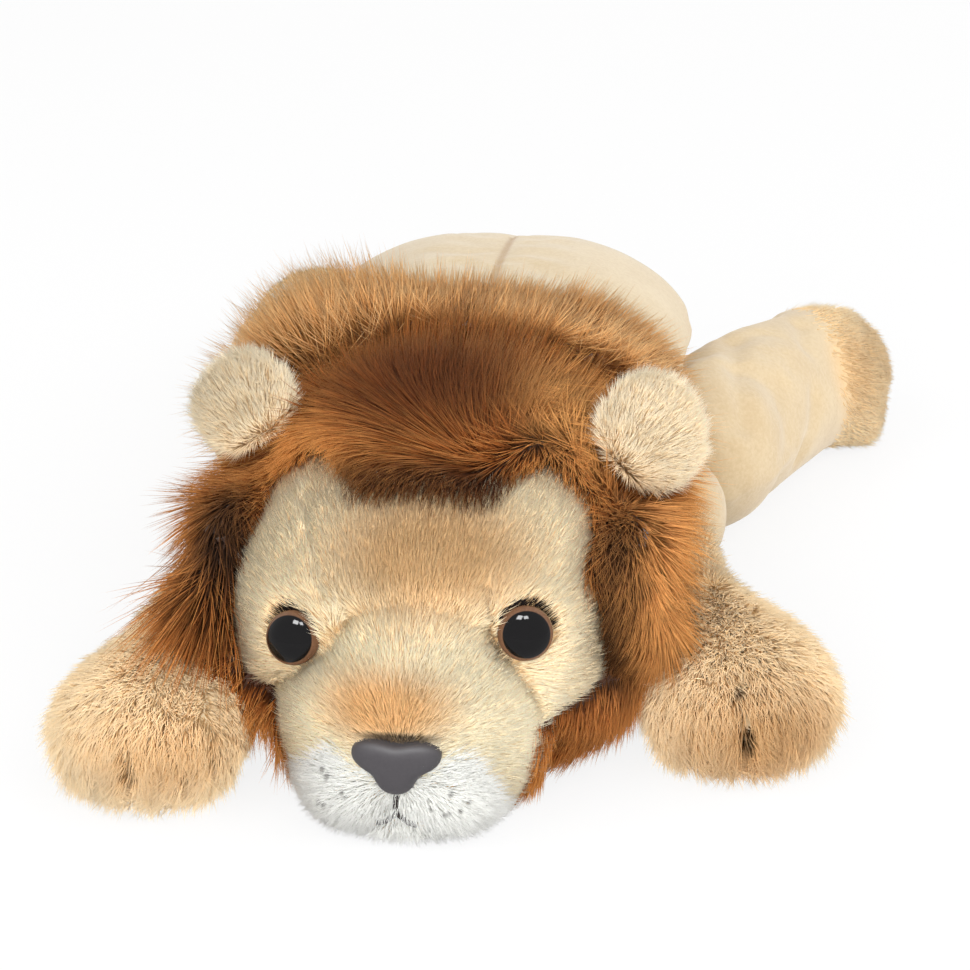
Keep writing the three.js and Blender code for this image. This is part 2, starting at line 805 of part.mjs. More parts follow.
function eyeAt(sign) {
  const point = pointFromFront(headFrontForm(headSides), sign * eyeSpread, eyeHeight + sign * eyeTilt);
  const out = THREE.MathUtils.degToRad(eyeOutDegrees);
  const lift = THREE.MathUtils.degToRad(eyeUpDegrees);
  const direction = new THREE.Vector3(
    sign * Math.sin(out) * Math.cos(lift),
    -Math.cos(out) * Math.cos(lift),
    Math.sin(lift),
  );
  const washerPlace = point.clone().addScaledVector(direction, -washerDepth - washerThickness / 2);
  return {
    piece: turnedPiece(eyeProfile(), point, direction, eyeSides),
    pocket: eyePocket(point, direction),
    washer: turnedPiece(washerProfile(eyeShankRadius + seamGap), washerPlace, direction, eyeSides),
    washerPocket: rod(
      point.clone().addScaledVector(direction, -washerDepth - washerThickness - seamGap),
      point.clone().addScaledVector(direction, -washerDepth + seamGap),
      washerRadius + seamGap,
      eyeSides,
    ),
  };
}

// One half of the nose from the middle of its top edge down: each end of a bend follows its two guides.
const noseOutlineShares = [
  [0, 0],
  [0.5, 0.11],
  [1, 0.065],
  [1, -0.22],
  [1, -0.52],
  [0.5, -0.5],
  [0.42, -0.72],
  [0.36, -1],
  [0.16, -1],
  [0, -1],
];

// The nose is laid flat first and then bent round the front of the muzzle.
function noseOutline() {
  const half = noseOutlineShares.map(
    ([wide, high]) => new THREE.Vector2(wide * (noseWidth / 2), high * noseHeight),
  );
  const other = half.map((point) => new THREE.Vector2(-point.x, point.y)).reverse();
  const outline = new THREE.Shape();
  outline.moveTo(0, 0);
  for (const points of [half, other]) {
    for (let i = 1; i < points.length; i += 3) {
      const [first, second, end] = points.slice(i, i + 3);
      outline.bezierCurveTo(first.x, first.y, second.x, second.y, end.x, end.y);
    }
  }
  return outline;
}

function muzzleFrontAt(x, z) {
  const across = x / muzzleHalfWidth;
  const upward = (z - muzzleHeight) / muzzleRise;
  return muzzleBack - muzzleLength * Math.sqrt(Math.max(0, 1 - across ** 2 - upward ** 2));
}

function noseForm(extra) {
  const geometry = new THREE.ExtrudeGeometry(noseOutline(), {
    depth: noseDepth + noseSink - 2 * noseRound + 2 * extra,
    bevelEnabled: true,
    bevelThickness: noseRound,
    bevelSize: noseRound,
    bevelOffset: -noseRound + extra,
    bevelSegments: noseRoundSteps,
    curveSegments: noseBendSteps,
  });
  geometry.translate(0, 0, noseRound - extra - noseSink);
  geometry.rotateX(Math.PI / 2);
  geometry.translate(0, 0, noseTop);
  const place = geometry.attributes.position;
  for (let i = 0; i < place.count; i += 1) {
    place.setY(i, place.getY(i) + muzzleFrontAt(place.getX(i), place.getZ(i)));
  }
  return solidOf(geometry);
}

// A thread laid over the muzzle through points given as width and height.
function threadOver(points, radius, surface) {
  const path = new THREE.CatmullRomCurve3(
    points.map(([x, z]) => new THREE.Vector3(x, surface(x, z), z)),
    false,
    'centripetal',
  );
  const section = new THREE.Shape();
  section.absarc(0, 0, radius, 0, Math.PI * 2);
  return solidOf(new THREE.ExtrudeGeometry(section, {
    steps: threadSteps,
    extrudePath: path,
    curveSegments: threadBendSteps,
  }));
}

function mouthForm(extra) {
  const radius = threadRadius + extra;
  const noseLow = noseTop - noseHeight - 2 * seamGap - threadRadius;
  const upright = threadOver([[0, noseLow + extra], [0, mouthHeight]], radius, muzzleFrontAt);
  const sides = [1, -1].map((sign) => threadOver(
    [
      [0, mouthHeight],
      [sign * mouthHalfWidth / 2, mouthHeight - mouthDrop * mouthCurveShare],
      [sign * mouthHalfWidth, mouthHeight - mouthDrop],
    ],
    radius,
    muzzleFrontAt,
  ));
  return sides.reduce((whole, side) => whole.add(side), upright);
}

function earForm(sign, extra) {
  const geometry = new THREE.SphereGeometry(1, earSides, earRings);
  geometry.scale(earHalfWidth + extra, earHalfThickness + extra, earRise + extra);
  geometry.rotateX(-THREE.MathUtils.degToRad(earLeanDegrees));
  geometry.rotateY(sign * THREE.MathUtils.degToRad(earRollDegrees));
  geometry.rotateZ(sign * THREE.MathUtils.degToRad(earTurnDegrees));
  geometry.translate(sign * earSpread, earBack, earHeight);
  return solidOf(geometry);
}

// The plane through the middle of an ear, between its front and back cloth.
function earHalf(sign, facing) {
  const normal = new THREE.Vector3(0, facing, 0);
  normal.applyAxisAngle(xAxis, -THREE.MathUtils.degToRad(earLeanDegrees));
  normal.applyAxisAngle(yAxis, sign * THREE.MathUtils.degToRad(earRollDegrees));
  normal.applyAxisAngle(zAxis, sign * THREE.MathUtils.degToRad(earTurnDegrees));
  const centre = new THREE.Vector3(sign * earSpread, earBack, earHeight);
  return halfSpace(centre.addScaledVector(normal, seamGap / 2), normal);
}

const head = headSolid(0).intersect(aboveFloor);
const headOuter = headSolid(seamGap);
const headHollow = (depth) => headSolid(-depth, headSides / 2);
const headShell = head.subtract(headHollow(clothThickness).intersect(above(clothThickness)));
const muzzle = muzzleSolid(0).intersect(aboveFloor);
const muzzleOuter = muzzleSolid(seamGap);
const muzzleShell = muzzle
  .subtract(solidOf(grown(muzzleForm(muzzleSides / 2), -clothThickness)).intersect(above(clothThickness)))
  .subtract(headOuter);
const eyes = [1, -1].map(eyeAt);
const nosePocket = noseForm(seamGap);
const noseMiddle = noseTop - noseHeight / 2;
const noseFace = muzzleFrontAt(0, noseMiddle);
const noseShankStart = new THREE.Vector3(0, noseFace - noseDepth / 2, noseMiddle);
const noseShankEnd = new THREE.Vector3(0, noseFace + noseShankLength, noseMiddle);
const noseShankPocket = rod(
  noseShankStart,
  noseShankEnd.clone().addScaledVector(yAxis, seamGap),
  noseShankRadius + seamGap,
  rodSides,
);
const noseWasherFront = noseFace + noseWasherDepth;
const noseWasherPlace = new THREE.Vector3(0, noseWasherFront + washerThickness / 2, noseMiddle);
const noseWasherPocket = rod(
  new THREE.Vector3(0, noseWasherFront - seamGap, noseMiddle),
  new THREE.Vector3(0, noseWasherFront + washerThickness + seamGap, noseMiddle),
  washerRadius + seamGap,
  eyeSides,
);
const mouthPocket = mouthForm(seamGap);
const neckOpening = rod(
  new THREE.Vector3(0, neckBack, neckHeight),
  new THREE.Vector3(0, neckBack + neckRadius + overrun, neckHeight),
  neckOpeningRadius,
  rodSides,
);
const neckPlug = rod(
  new THREE.Vector3(0, neckBack, neckHeight),
  new THREE.Vector3(0, neckBack + neckRadius + overrun, neckHeight),
  neckOpeningRadius - seamGap,
  rodSides,
).intersect(solidOf(neckBall(0, neckSides)));

function buildHead() {
  const facePockets = eyes.flatMap((eye) => [eye.pocket, eye.washerPocket]);
  const panel = cut(headShell, [muzzleOuter, ...facePockets]);
  add('face_panel', largest(panel.intersect(inFrontOfHairline(seamGap / 2))), facePlush);
  add('head_back_panel', largest(panel.intersect(behindHairline(seamGap / 2)).subtract(neckOpening)), collarPlush);

  const nosePockets = [noseShankPocket, noseWasherPocket];
  const white = [1, -1].map((sign) => solidOf(grown(muzzleLobe(sign), whiteBorder)));
  const whiteCut = [1, -1].map((sign) => solidOf(grown(muzzleLobe(sign), whiteBorder + seamGap)));
  const chin = solidOf(grown(chinLobe(), whiteBorder));
  const chinCut = solidOf(grown(chinLobe(), whiteBorder + seamGap));
  const muzzleCuts = [...nosePockets, mouthPocket, ...whiteCut, chinCut, ...facePockets];
  add('muzzle_panel', largest(cut(muzzleShell, muzzleCuts)), muzzlePlush);
  const shell = cut(muzzleShell, [...nosePockets, nosePocket, mouthPocket]);
  [['muzzle_white_left', 1, 0], ['muzzle_white_right', -1, 1]].forEach(([name, sign, i]) => {
    add(name, largest(shell.intersect(white[i]).intersect(onSide(sign)).subtract(chinCut)), whitePlush);
  });
  add('chin_panel', largest(shell.intersect(chin)), whitePlush);
  add('mouth_thread', mouthForm(0), thread);

  const shank = rod(noseShankStart, noseShankEnd, noseShankRadius, rodSides);
  const nose = noseForm(0).subtract(solidOf(grown(muzzleForm(), seamGap))).add(shank);
  add('nose', nose, noseMatte);
  const noseWasher = turnedPiece(washerProfile(noseShankRadius + seamGap), noseWasherPlace, yAxis, eyeSides);
  add('nose_washer', noseWasher, washerPlastic);

  const filling = headHollow(inset)
    .add(solidOf(grown(muzzleForm(muzzleSides / 2), -inset)))
    .intersect(above(inset))
    .add(neckPlug);
  add('head_filling', largest(cut(filling, [...facePockets, noseWasherPocket, noseShankPocket])), fibre);

  [['left', eyes[0]], ['right', eyes[1]]].forEach(([side, eye]) => {
    add(`eye_${side}`, eye.piece, eyeGloss);
    add(`eye_washer_${side}`, eye.washer, washerPlastic);
  });
  [['left', 1], ['right', -1]].forEach(([side, sign]) => {
    const ear = earForm(sign, 0).subtract(headOuter);
    add(`ear_front_${side}`, largest(ear.intersect(earHalf(sign, -1))), earPlush);
    add(`ear_back_${side}`, largest(ear.intersect(earHalf(sign, 1))), earPlush);
  });
}

// Mane

const mane = solidOf(maneForm());
const earPockets = [1, -1].map((sign) => earForm(sign, seamGap));
const beforeNeck = halfSpace(atBack(neckBack), yAxis.clone().negate());
const clearOfCollar = beforeNeck.intersect(turned(beforeNeck, neckPivot, 'x', headLiftDegrees));
const frontClearances = [limbs.front_left, limbs.front_right]
  .flatMap((limb) => [...sweptClearance(limb), solidOf(rootSocket(limb))]);

// The front legs as the lifted head meets them.
function legsSeenByHead() {
  const cutters = [];
  for (let i = 0; i <= turnSteps; i += 1) {
    const degrees = headLiftDegrees * (i / turnSteps);
    cutters.push(...frontClearances.map((leg) => turned(leg, neckPivot, 'x', degrees)));
  }
  return cutters;
}

function buildMane() {
  const onHead = (overhang) => mane.intersect(behindHairline(-overhang)).intersect(clearOfCollar);
  const crownBlock = (extra) => block(
    new THREE.Vector3(-crownHalfWidth - extra, 0, crownLow - extra),
    new THREE.Vector3(crownHalfWidth + extra, neckBack + overrun, maneTop + overrun),
  );
  const crownSpace = crownBlock(seamGap);
  const crown = onHead(crownOverhang).intersect(crownBlock(0));
  add('mane_crown', largest(cut(crown, [headOuter, ...earPockets])), manePlush);
  [['left', 1], ['right', -1]].forEach(([side, sign]) => {
    const flap = onHead(flapOverhang)
      .intersect(below(flapTop))
      .subtract(crownSpace)
      .add(jawForm(sign).intersect(aboveFloor).intersect(clearOfCollar))
      .intersect(onSide(sign));
    const cutters = [headOuter, muzzleOuter, earPockets[0], earPockets[1], ...legsSeenByHead()];
    add(`mane_flap_${side}`, largest(cut(flap, cutters)), manePlush);
  });
  const collar = mane.intersect(halfSpace(atBack(bodyFront), yAxis));
  const cutters = [solidOf(neckSocket()), bodyOuter, ...frontClearances];
  add('mane_collar', largest(cut(collar, cutters)), collarPlush);
}

// Body

const behindNeck = halfSpace(atBack(bodyFront), yAxis);
const bodyOuter = solidOf(grown(bodyForm(bodySides), seamGap));

function tailCurve() {
  return new THREE.CatmullRomCurve3([
    new THREE.Vector3(0, tailBack, tailHeight),
    new THREE.Vector3(
      0,
      tailBack + tailRootRadius * tailBendShares.rootBack,
      tailHeight * tailBendShares.rootHeight,
    ),
    new THREE.Vector3(
      -tailReachSide * tailBendShares.kneeSide,
      tailReachBack - tailRadius * tailBendShares.kneeRise,
      tailRadius * tailBendShares.kneeRise,
    ),
    new THREE.Vector3(-tailReachSide * tailBendShares.farSide, tailReachBack, tailRadius - floorPress),
    new THREE.Vector3(-tailReachSide, tailReachBack - tailRadius, tailRadius - floorPress),
  ], false, 'centripetal');
}

const tailRoot = new THREE.Vector3(0, tailBack, tailHeight);

const tailSliceShares = [0, 0.12, 0.25, 0.4, 0.55, 0.7, 0.85, 0.97];

function tailForm(sides) {
  const curve = tailCurve();
  const length = curve.getLength();
  const rows = tailSliceShares.map((share) => ({
    along: share * length,
    halfWidth: tailRadius,
    halfHeight: tailRadius,
  }));
  return sweep(curve, rows, sides);
}

function tailSolid(extra) {
  const radius = tailRootRadius + extra;
  const root = ball(tailRoot, new THREE.Vector3(radius, radius, radius), tailSides, tailSides / 2, 'z');
  return solidOf(grown(tailForm(tailSides), extra)).add(solidOf(root));
}

function tailClearance() {
  const radius = socketSize(tailRootRadius, motionGap, tailSides);
  const size = new THREE.Vector3(radius, radius, radius);
  const places = [solidOf(ball(tailRoot, size, tailSides, tailSides / 2, 'z'))];
  for (let i = 0; i <= turnSteps; i += 1) {
    const degrees = THREE.MathUtils.lerp(-tailSwingDegrees, tailCurlDegrees, i / turnSteps);
    places.push(turned(tailSolid(motionGap), tailRoot, 'z', degrees));
  }
  return places;
}

function buildBody() {
  const sockets = [solidOf(neckSocket()), ...tailClearance()];
  for (const limb of Object.values(limbs)) {
    sockets.push(solidOf(rootSocket(limb)), ...sweptClearance(limb));
  }
  const body = solidOf(bodyForm(bodySides)).intersect(aboveFloor).intersect(behindNeck);
  const hollow = (depth) => solidOf(grown(bodyForm(bodySides / 2), -depth)).intersect(above(depth));
  const shell = cut(body.subtract(hollow(clothThickness)), sockets);
  const upper = shell.intersect(above(bellySeamHeight + seamGap));
  add('back_panel_left', largest(upper.intersect(onSide(1))), bodyPlush);
  add('back_panel_right', largest(upper.intersect(onSide(-1))), bodyPlush);
  add('belly_panel', largest(shell.intersect(below(bellySeamHeight))), bodyPlush);

  const bagCentre = new THREE.Vector3(0, pelletBagBack, inset + seamGap + pelletBagHeight * pelletBagRiseShare);
  const bagForm = (extra) => solidOf(ball(
    bagCentre,
    new THREE.Vector3(pelletBagWidth / 2 + extra, pelletBagLength / 2 + extra, pelletBagHeight / 2 + extra),
    ballSides,
    ballRings,
    'z',
  ));
  const filling = hollow(inset).intersect(behindNeck);
  add('pellet_bag', largest(cut(bagForm(0).intersect(filling), sockets)), pelletCloth);
  add('body_filling', largest(cut(filling, [bagForm(seamGap), ...sockets])), fibre);
}

// Legs

function buildLeg(name, limb) {
  const inward = new THREE.Vector3(-Math.sign(limb.root.x), 0, 0);
  const plug = (extra) => rod(
    limb.root,
    limb.root.clone().addScaledVector(inward, limb.rootRadius + overrun),
    limb.rootRadius * rootOpeningShare + extra,
    plugSides,
  );
  const hollow = (depth) => cut(
    solidOf(grown(limbForm(limb, legSides / 2 + 1), -depth)).intersect(above(depth)),
    limb.keptOff(depth),
  );
  const shell = cut(limb.solid, [hollow(clothThickness), plug(0)]);
  const length = limb.curve.getLength();
  const share = 1 - limb.pawLength / length;
  const cuff = limb.curve.getPointAt(share);
  const along = limb.curve.getTangentAt(share);
  const pawSide = (gap) => halfSpace(cuff.clone().addScaledVector(along, gap), along);
  const armSide = (gap) => halfSpace(cuff.clone().addScaledVector(along, -gap), along.clone().negate());
  add(`leg_cover_${name}`, largest(shell.intersect(armSide(seamGap / 2))), bodyPlush);
  add(`paw_cover_${name}`, largest(shell.intersect(pawSide(seamGap / 2))), pawPlush);
  const filling = hollow(inset).add(plug(-seamGap).intersect(limb.solid));
  add(`leg_filling_${name}`, largest(filling), fibre);
}

const tuftSliceShares = [
  { along: 0.08, girth: 0.55 },
  { along: 0.3, girth: 0.9 },
  { along: 0.5, girth: 1 },
  { along: 0.72, girth: 0.85 },
  { along: 0.9, girth: 0.5 },
];

function buildTail() {
  const opening = (extra) => rod(
    tailRoot,
    tailRoot.clone().addScaledVector(yAxis, -tailRootRadius - overrun),
    tailRootRadius * rootOpeningShare + extra,
    plugSides,
  );
  const whole = tailSolid(0).intersect(aboveFloor);
  const hollow = (depth) => solidOf(grown(tailForm(tailSides / 2 + 1), -depth)).intersect(above(depth));
  add('tail_cover', cut(whole, [hollow(clothThickness), opening(0)]), bodyPlush);
  add('tail_filling', largest(hollow(inset).add(opening(-seamGap).intersect(whole))), fibre);
  const tip = tailCurve().getPointAt(1);
  const along = tailCurve().getTangentAt(1);
  const end = tip.clone().addScaledVector(along, tuftLength);
  end.z = tuftRadius - floorPress;
  const start = tip.clone().addScaledVector(along, -tuftRadius / 2);
  start.z = tuftRadius - floorPress;
  const path = new THREE.LineCurve3(start, end);
  const long = path.getLength();
  const rows = tuftSliceShares.map((share) => ({
    along: share.along * long,
    halfWidth: tuftRadius * share.girth,
    halfHeight: tuftRadius * share.girth,
  }));
  const tuft = solidOf(sweep(path, rows, tuftSides)).intersect(aboveFloor).subtract(tailSolid(seamGap));
  add('tail_tuft', largest(tuft), manePlush);
}

buildHead();
buildMane();
buildBody();
Object.entries(limbs).forEach(([name, limb]) => buildLeg(name, limb));
buildTail();

// The middle of the footprint goes to zero.
const bounds = new THREE.Box3().setFromObject(lion);
lion.position.set(-(bounds.min.x + bounds.max.x) / 2, -(bounds.min.y + bounds.max.y) / 2, 0);

export default lion;
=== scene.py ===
"""A plush lion that lies flat with its chin on the floor.

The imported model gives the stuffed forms. Each is copied, rounded and dressed with its own pile: short on the
face, muzzle, ears and paws, and long on the mane. Places are written in millimetres from the tip of the chin,
with the nose towards -Y, the tail towards +Y and the lion's left towards +X, and at() turns them into metres
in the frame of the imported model.
"""

import json
import logging
import math
from dataclasses import dataclass, field
from enum import Enum
from typing import Callable, Optional, Sequence, Union

import bmesh
import bpy
import numpy as np
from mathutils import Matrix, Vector
from mathutils.bvhtree import BVHTree


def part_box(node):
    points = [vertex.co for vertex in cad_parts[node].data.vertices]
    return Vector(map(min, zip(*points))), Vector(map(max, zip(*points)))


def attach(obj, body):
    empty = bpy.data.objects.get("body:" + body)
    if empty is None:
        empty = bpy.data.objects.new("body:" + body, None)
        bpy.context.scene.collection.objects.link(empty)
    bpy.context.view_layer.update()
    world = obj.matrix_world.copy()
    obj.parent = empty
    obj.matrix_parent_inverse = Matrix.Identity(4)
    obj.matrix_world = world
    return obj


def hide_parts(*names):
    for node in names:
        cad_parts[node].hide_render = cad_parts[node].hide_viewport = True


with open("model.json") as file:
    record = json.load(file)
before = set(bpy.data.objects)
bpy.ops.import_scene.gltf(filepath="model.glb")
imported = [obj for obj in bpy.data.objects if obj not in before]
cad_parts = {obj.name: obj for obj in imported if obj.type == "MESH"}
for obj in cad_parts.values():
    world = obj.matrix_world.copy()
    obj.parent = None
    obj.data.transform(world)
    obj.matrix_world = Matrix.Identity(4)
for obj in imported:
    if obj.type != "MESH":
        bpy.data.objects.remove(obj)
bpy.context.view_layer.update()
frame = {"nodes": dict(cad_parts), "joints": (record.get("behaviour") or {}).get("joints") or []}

LOG = logging.getLogger("lion")
MM = 0.001
NECK_PLACE = (0.0, 118.0, 44.0)
SWIVELS = {joint["name"]: Vector(joint["pos_m"]) for joint in frame["joints"]}
CHIN = SWIVELS["head_lift"] - Vector(NECK_PLACE) * MM
# Millimetres that a backing cloth lies outside its cover under long pile, and inside it elsewhere.
CLEARANCE, SINKING = 0.8, 1.8
# Millimetres over which long pile fades out at its edge.
PILE_MARGIN = 3.0
# Metres that strands keep above the floor.
FLOOR_GAP = 0.0002

Number = Union[float, "Value"]
Colour = tuple[float, float, float]
Place = tuple[float, float, float]
Line = tuple[Place, ...]


class Side(Enum):
    """One of the lion's two sides."""

    LEFT = "left"
    RIGHT = "right"

    @property
    def sign(self) -> int:
        """1 on its left, where x is above zero, and -1 on its right."""
        return 1 if self is Side.LEFT else -1


def at(x: float, y: float, z: float) -> Vector:
    """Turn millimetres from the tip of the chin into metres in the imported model's frame.

    Args:
        x: Distance towards the lion's left.
        y: Distance towards the tail.
        z: Height above the floor.

    Returns:
        The place in metres.
    """
    return CHIN + Vector((x, y, z)) * MM


def from_chin(points: np.ndarray) -> np.ndarray:
    """Turn places in metres back into millimetres from the tip of the chin.

    Args:
        points: An array of places, one a row.

    Returns:
        The same places in millimetres.
    """
    return (points - np.array(CHIN)) / MM


def paint(red: int, green: int, blue: int) -> Colour:
    """Turn a screen colour from 0 to 255 into the linear colour that a shader takes.

    Args:
        red: Red share.
        green: Green share.
        blue: Blue share.

    Returns:
        The linear colour.
    """
    def linear(share: float) -> float:
        """Undo the screen's curve for one channel."""
        return share / 12.92 if share <= 0.04045 else ((share + 0.055) / 1.055) ** 2.4

    return linear(red / 255), linear(green / 255), linear(blue / 255)


def unit(rows: np.ndarray) -> np.ndarray:
    """Scale each row to length one."""
    return rows / np.maximum(np.linalg.norm(rows, axis=1, keepdims=True), 1e-9)


def ease(values: np.ndarray, low: float, high: float) -> np.ndarray:
    """Rise smoothly from 0 at low to 1 at high, or fall where high is below low.

    Args:
        values: The values to judge.
        low: Where the result is 0.
        high: Where the result is 1.

    Returns:
        The eased shares.
    """
    share = np.clip((values - low) / (high - low), 0, 1)
    return share * share * (3 - 2 * share)


# Shader and node trees


class Value:
    """A number in a shader: the output of a node, which sums and products can use."""

    def __init__(self, tree: "NodeBench", socket: bpy.types.NodeSocket) -> None:
        """Keep the tree and the socket that holds the number."""
        self.tree = tree
        self.socket = socket

    def _math(self, operation: str, *values: Number) -> "Value":
        """Add one Math node on these values and give its result."""
        made = self.tree.node("ShaderNodeMath", {"operation": operation}, dict(enumerate(values)))
        return Value(self.tree, made.outputs[0])

    def __add__(self, other: Number) -> "Value":
        """Sum."""
        return self._math("ADD", self, other)

    __radd__ = __add__

    def __mul__(self, other: Number) -> "Value":
        """Product."""
        return self._math("MULTIPLY", self, other)

    __rmul__ = __mul__

    def __sub__(self, other: Number) -> "Value":
        """Difference."""
        return self._math("SUBTRACT", self, other)

    def __rsub__(self, other: Number) -> "Value":
        """Difference from a plain number."""
        return self._math("SUBTRACT", other, self)

    def __pow__(self, other: Number) -> "Value":
        """Power."""
        return self._math("POWER", self, other)

    def clamp(self) -> "Value":
        """Keep the value from 0 to 1."""
        return self.tree.between(self, 0.0, 1.0, "LINEAR")


class NodeBench:
    """Adds nodes to one tree, with their settings and links in one call."""

    def __init__(self, tree: bpy.types.NodeTree) -> None:
        """Keep the tree and empty it."""
        self.tree = tree
        tree.nodes.clear()

    def node(self, kind: str, settings: Optional[dict] = None, values: Optional[dict] = None) -> bpy.types.Node:
        """Add a node.

        Args:
            kind: The node's type name.
            settings: Attributes to set first.
            values: Socket name or index to a plain value, a Value or an output socket.

        Returns:
            The new node.
        """
        made = self.tree.nodes.new(kind)
        for name, setting in (settings or {}).items():
            setattr(made, name, setting)
        for name, value in (values or {}).items():
            socket = made.inputs[name]
            source = value.socket if isinstance(value, Value) else value
            if isinstance(source, bpy.types.NodeSocket):
                self.tree.links.new(source, socket)
            elif isinstance(value, tuple) and len(value) == 3 and socket.type == "RGBA":
                socket.default_value = (*value, 1.0)
            else:
                socket.default_value = value
        return made

    def value(self, kind: str, output: Union[str, int] = 0, settings: Optional[dict] = None,
              values: Optional[dict] = None) -> Value:
        """Add a node and give one of its outputs as a Value."""
        return Value(self, self.node(kind, settings, values).outputs[output])

    def between(self, value: Number, low: float, high: float, blend: str = "SMOOTHSTEP") -> Value:
        """Map a value to 0 at low and 1 at high."""
        return self.value("ShaderNodeMapRange", 0, {"interpolation_type": blend},
                          {"Value": value, "From Min": low, "From Max": high})

    def mix(self, factor: Number, first: Union[Colour, Value], second: Union[Colour, Value],
            blend: str = "MIX") -> Value:
        """Mix two colours.

        Args:
            factor: Share of the second colour.
            first: The colour at factor 0.
            second: The colour at factor 1.
            blend: The mix's blend type.

        Returns:
            The mixed colour.
        """
        made = self.node("ShaderNodeMix", {"data_type": "RGBA", "blend_type": blend},
                         {"Factor": factor, 6: first, 7: second})
        return Value(self, made.outputs[2])

    def attribute(self, name: str, output: str = "Fac") -> Value:
        """Read an attribute of the piece."""
        return self.value("ShaderNodeAttribute", output, {"attribute_name": name})

    def place(self) -> Value:
        """The point's place on the piece at rest, in metres."""
        return self.value("ShaderNodeTexCoord", "Object")

    def noise(self, size: float, detail: float = 2.0, roughness: float = 0.5) -> Value:
        """A soft noise whose blobs have about this size in metres."""
        return self.value("ShaderNodeTexNoise", "Fac", None,
                          {"Vector": self.place(), "Scale": 1 / size, "Detail": detail, "Roughness": roughness})

    def near(self, centre: Vector, radii: Vector, soft: float) -> Value:
        """A mask that is 1 inside an ellipsoid and fades out over a share of its radius.

        Args:
            centre: The ellipsoid's middle, in metres.
            radii: Its half sizes, in metres.
            soft: How much of the radius the edge takes.

        Returns:
            The mask.
        """
        moved = self.value("ShaderNodeVectorMath", 0, {"operation": "SUBTRACT"},
                           {0: self.place(), 1: tuple(centre)})
        scaled = self.value("ShaderNodeVectorMath", 0, {"operation": "DIVIDE"}, {0: moved, 1: tuple(radii)})
        far = self.value("ShaderNodeVectorMath", "Value", {"operation": "LENGTH"}, {0: scaled})
        return self.between(far, 1 + soft, 1 - soft)


# Finishes


@dataclass(frozen=True)
class Patch:
    """An area of another colour on a pile, faded at its edge.

    Attributes:
        centre: Its middle, in millimetres from the chin.
        radii: Its half sizes in millimetres.
        colour: The colour there.
        strength: How much of the colour shows in the middle.
        soft: The share of the radius that the edge takes.
    """

    centre: Place
    radii: Place
    colour: Colour
    strength: float
    soft: float

    def mask(self, bench: NodeBench) -> Value:
        """How much of its colour shows at each point."""
        return bench.near(at(*self.centre), Vector(self.radii) * MM, self.soft) * self.strength


@dataclass(frozen=True)
class PileFinish:
    """Strands of pile: darker at the root, with uneven dye.

    Attributes:
        name: The material's name.
        root: Colour deep in the pile.
        middle: Colour half way up a strand.
        tip: Colour at the tips.
        patches: Areas of another colour, laid over each other in order.
        uneven: How strongly the tone differs from strand to strand.
        blotch: Size in metres of the soft differences over the cloth.
    """

    name: str
    root: Colour
    middle: Colour
    tip: Colour
    patches: tuple[Patch, ...] = ()
    uneven: float = 0.25
    blotch: float = 0.018

    def material(self) -> bpy.types.Material:
        """Build the material for strands.

        Returns:
            The new material.
        """
        made, bench, shader = new_material(self.name)
        along = bench.attribute("along")
        tone = bench.attribute("tone")
        low = bench.mix(bench.between(along, 0.0, 0.55), self.root, self.middle)
        colour = bench.mix(bench.between(along, 0.45, 1.0), low, self.tip)
        for patch in self.patches:
            mask = patch.mask(bench)
            darker = tuple(share * 0.7 for share in patch.colour)
            there = bench.mix(bench.between(along, 0.0, 0.7), darker, patch.colour)
            colour = bench.mix(mask, colour, there)
        blotch = bench.noise(self.blotch)
        bright = 1 + (tone - 0.5) * self.uneven + (blotch - 0.5) * (self.uneven * 1.6)
        grey = bench.node("ShaderNodeCombineColor", None, {0: bright, 1: bright, 2: bright})
        colour = bench.mix(1.0, colour, Value(bench, grey.outputs[0]), "MULTIPLY")
        finish_shader(bench, shader, colour, roughness=0.62, gloss=0.12)
        return made


@dataclass(frozen=True)
class VelourFinish:
    """Short smooth pile seen as a surface: fine grain, soft blotches and a sheen.

    Attributes:
        name: The material's name.
        light: Main colour.
        dark: Colour in the grain and the soft blotches.
        patches: Areas of another colour.
        grain: Size in metres of the grain.
        sheen: Strength of the soft edge light.
        under: Colour of the cloth where the attribute "covered" says that long pile lies over it.
    """

    name: str
    light: Colour
    dark: Colour
    patches: tuple[Patch, ...] = ()
    grain: float = 0.0012
    sheen: float = 0.35
    under: Optional[Colour] = None

    def material(self) -> bpy.types.Material:
        """Build the material for a smooth cover.

        Returns:
            The new material.
        """
        made, bench, shader = new_material(self.name)
        fine = bench.noise(self.grain, 3.0, 0.65)
        broad = bench.noise(self.grain * 14)
        colour = bench.mix(bench.between(fine * 0.7 + broad * 0.5, 0.35, 0.85), self.dark, self.light)
        for patch in self.patches:
            colour = bench.mix(patch.mask(bench), colour, patch.colour)
        if self.under is not None:
            colour = bench.mix(bench.attribute("covered"), colour, self.under)
        bump = bench.node("ShaderNodeBump", None,
                          {"Strength": 0.35, "Distance": 0.0006, "Height": fine + broad * 0.6})
        finish_shader(bench, shader, colour, roughness=0.85, sheen=self.sheen, normal=bump.outputs[0], gloss=0.2)
        return made


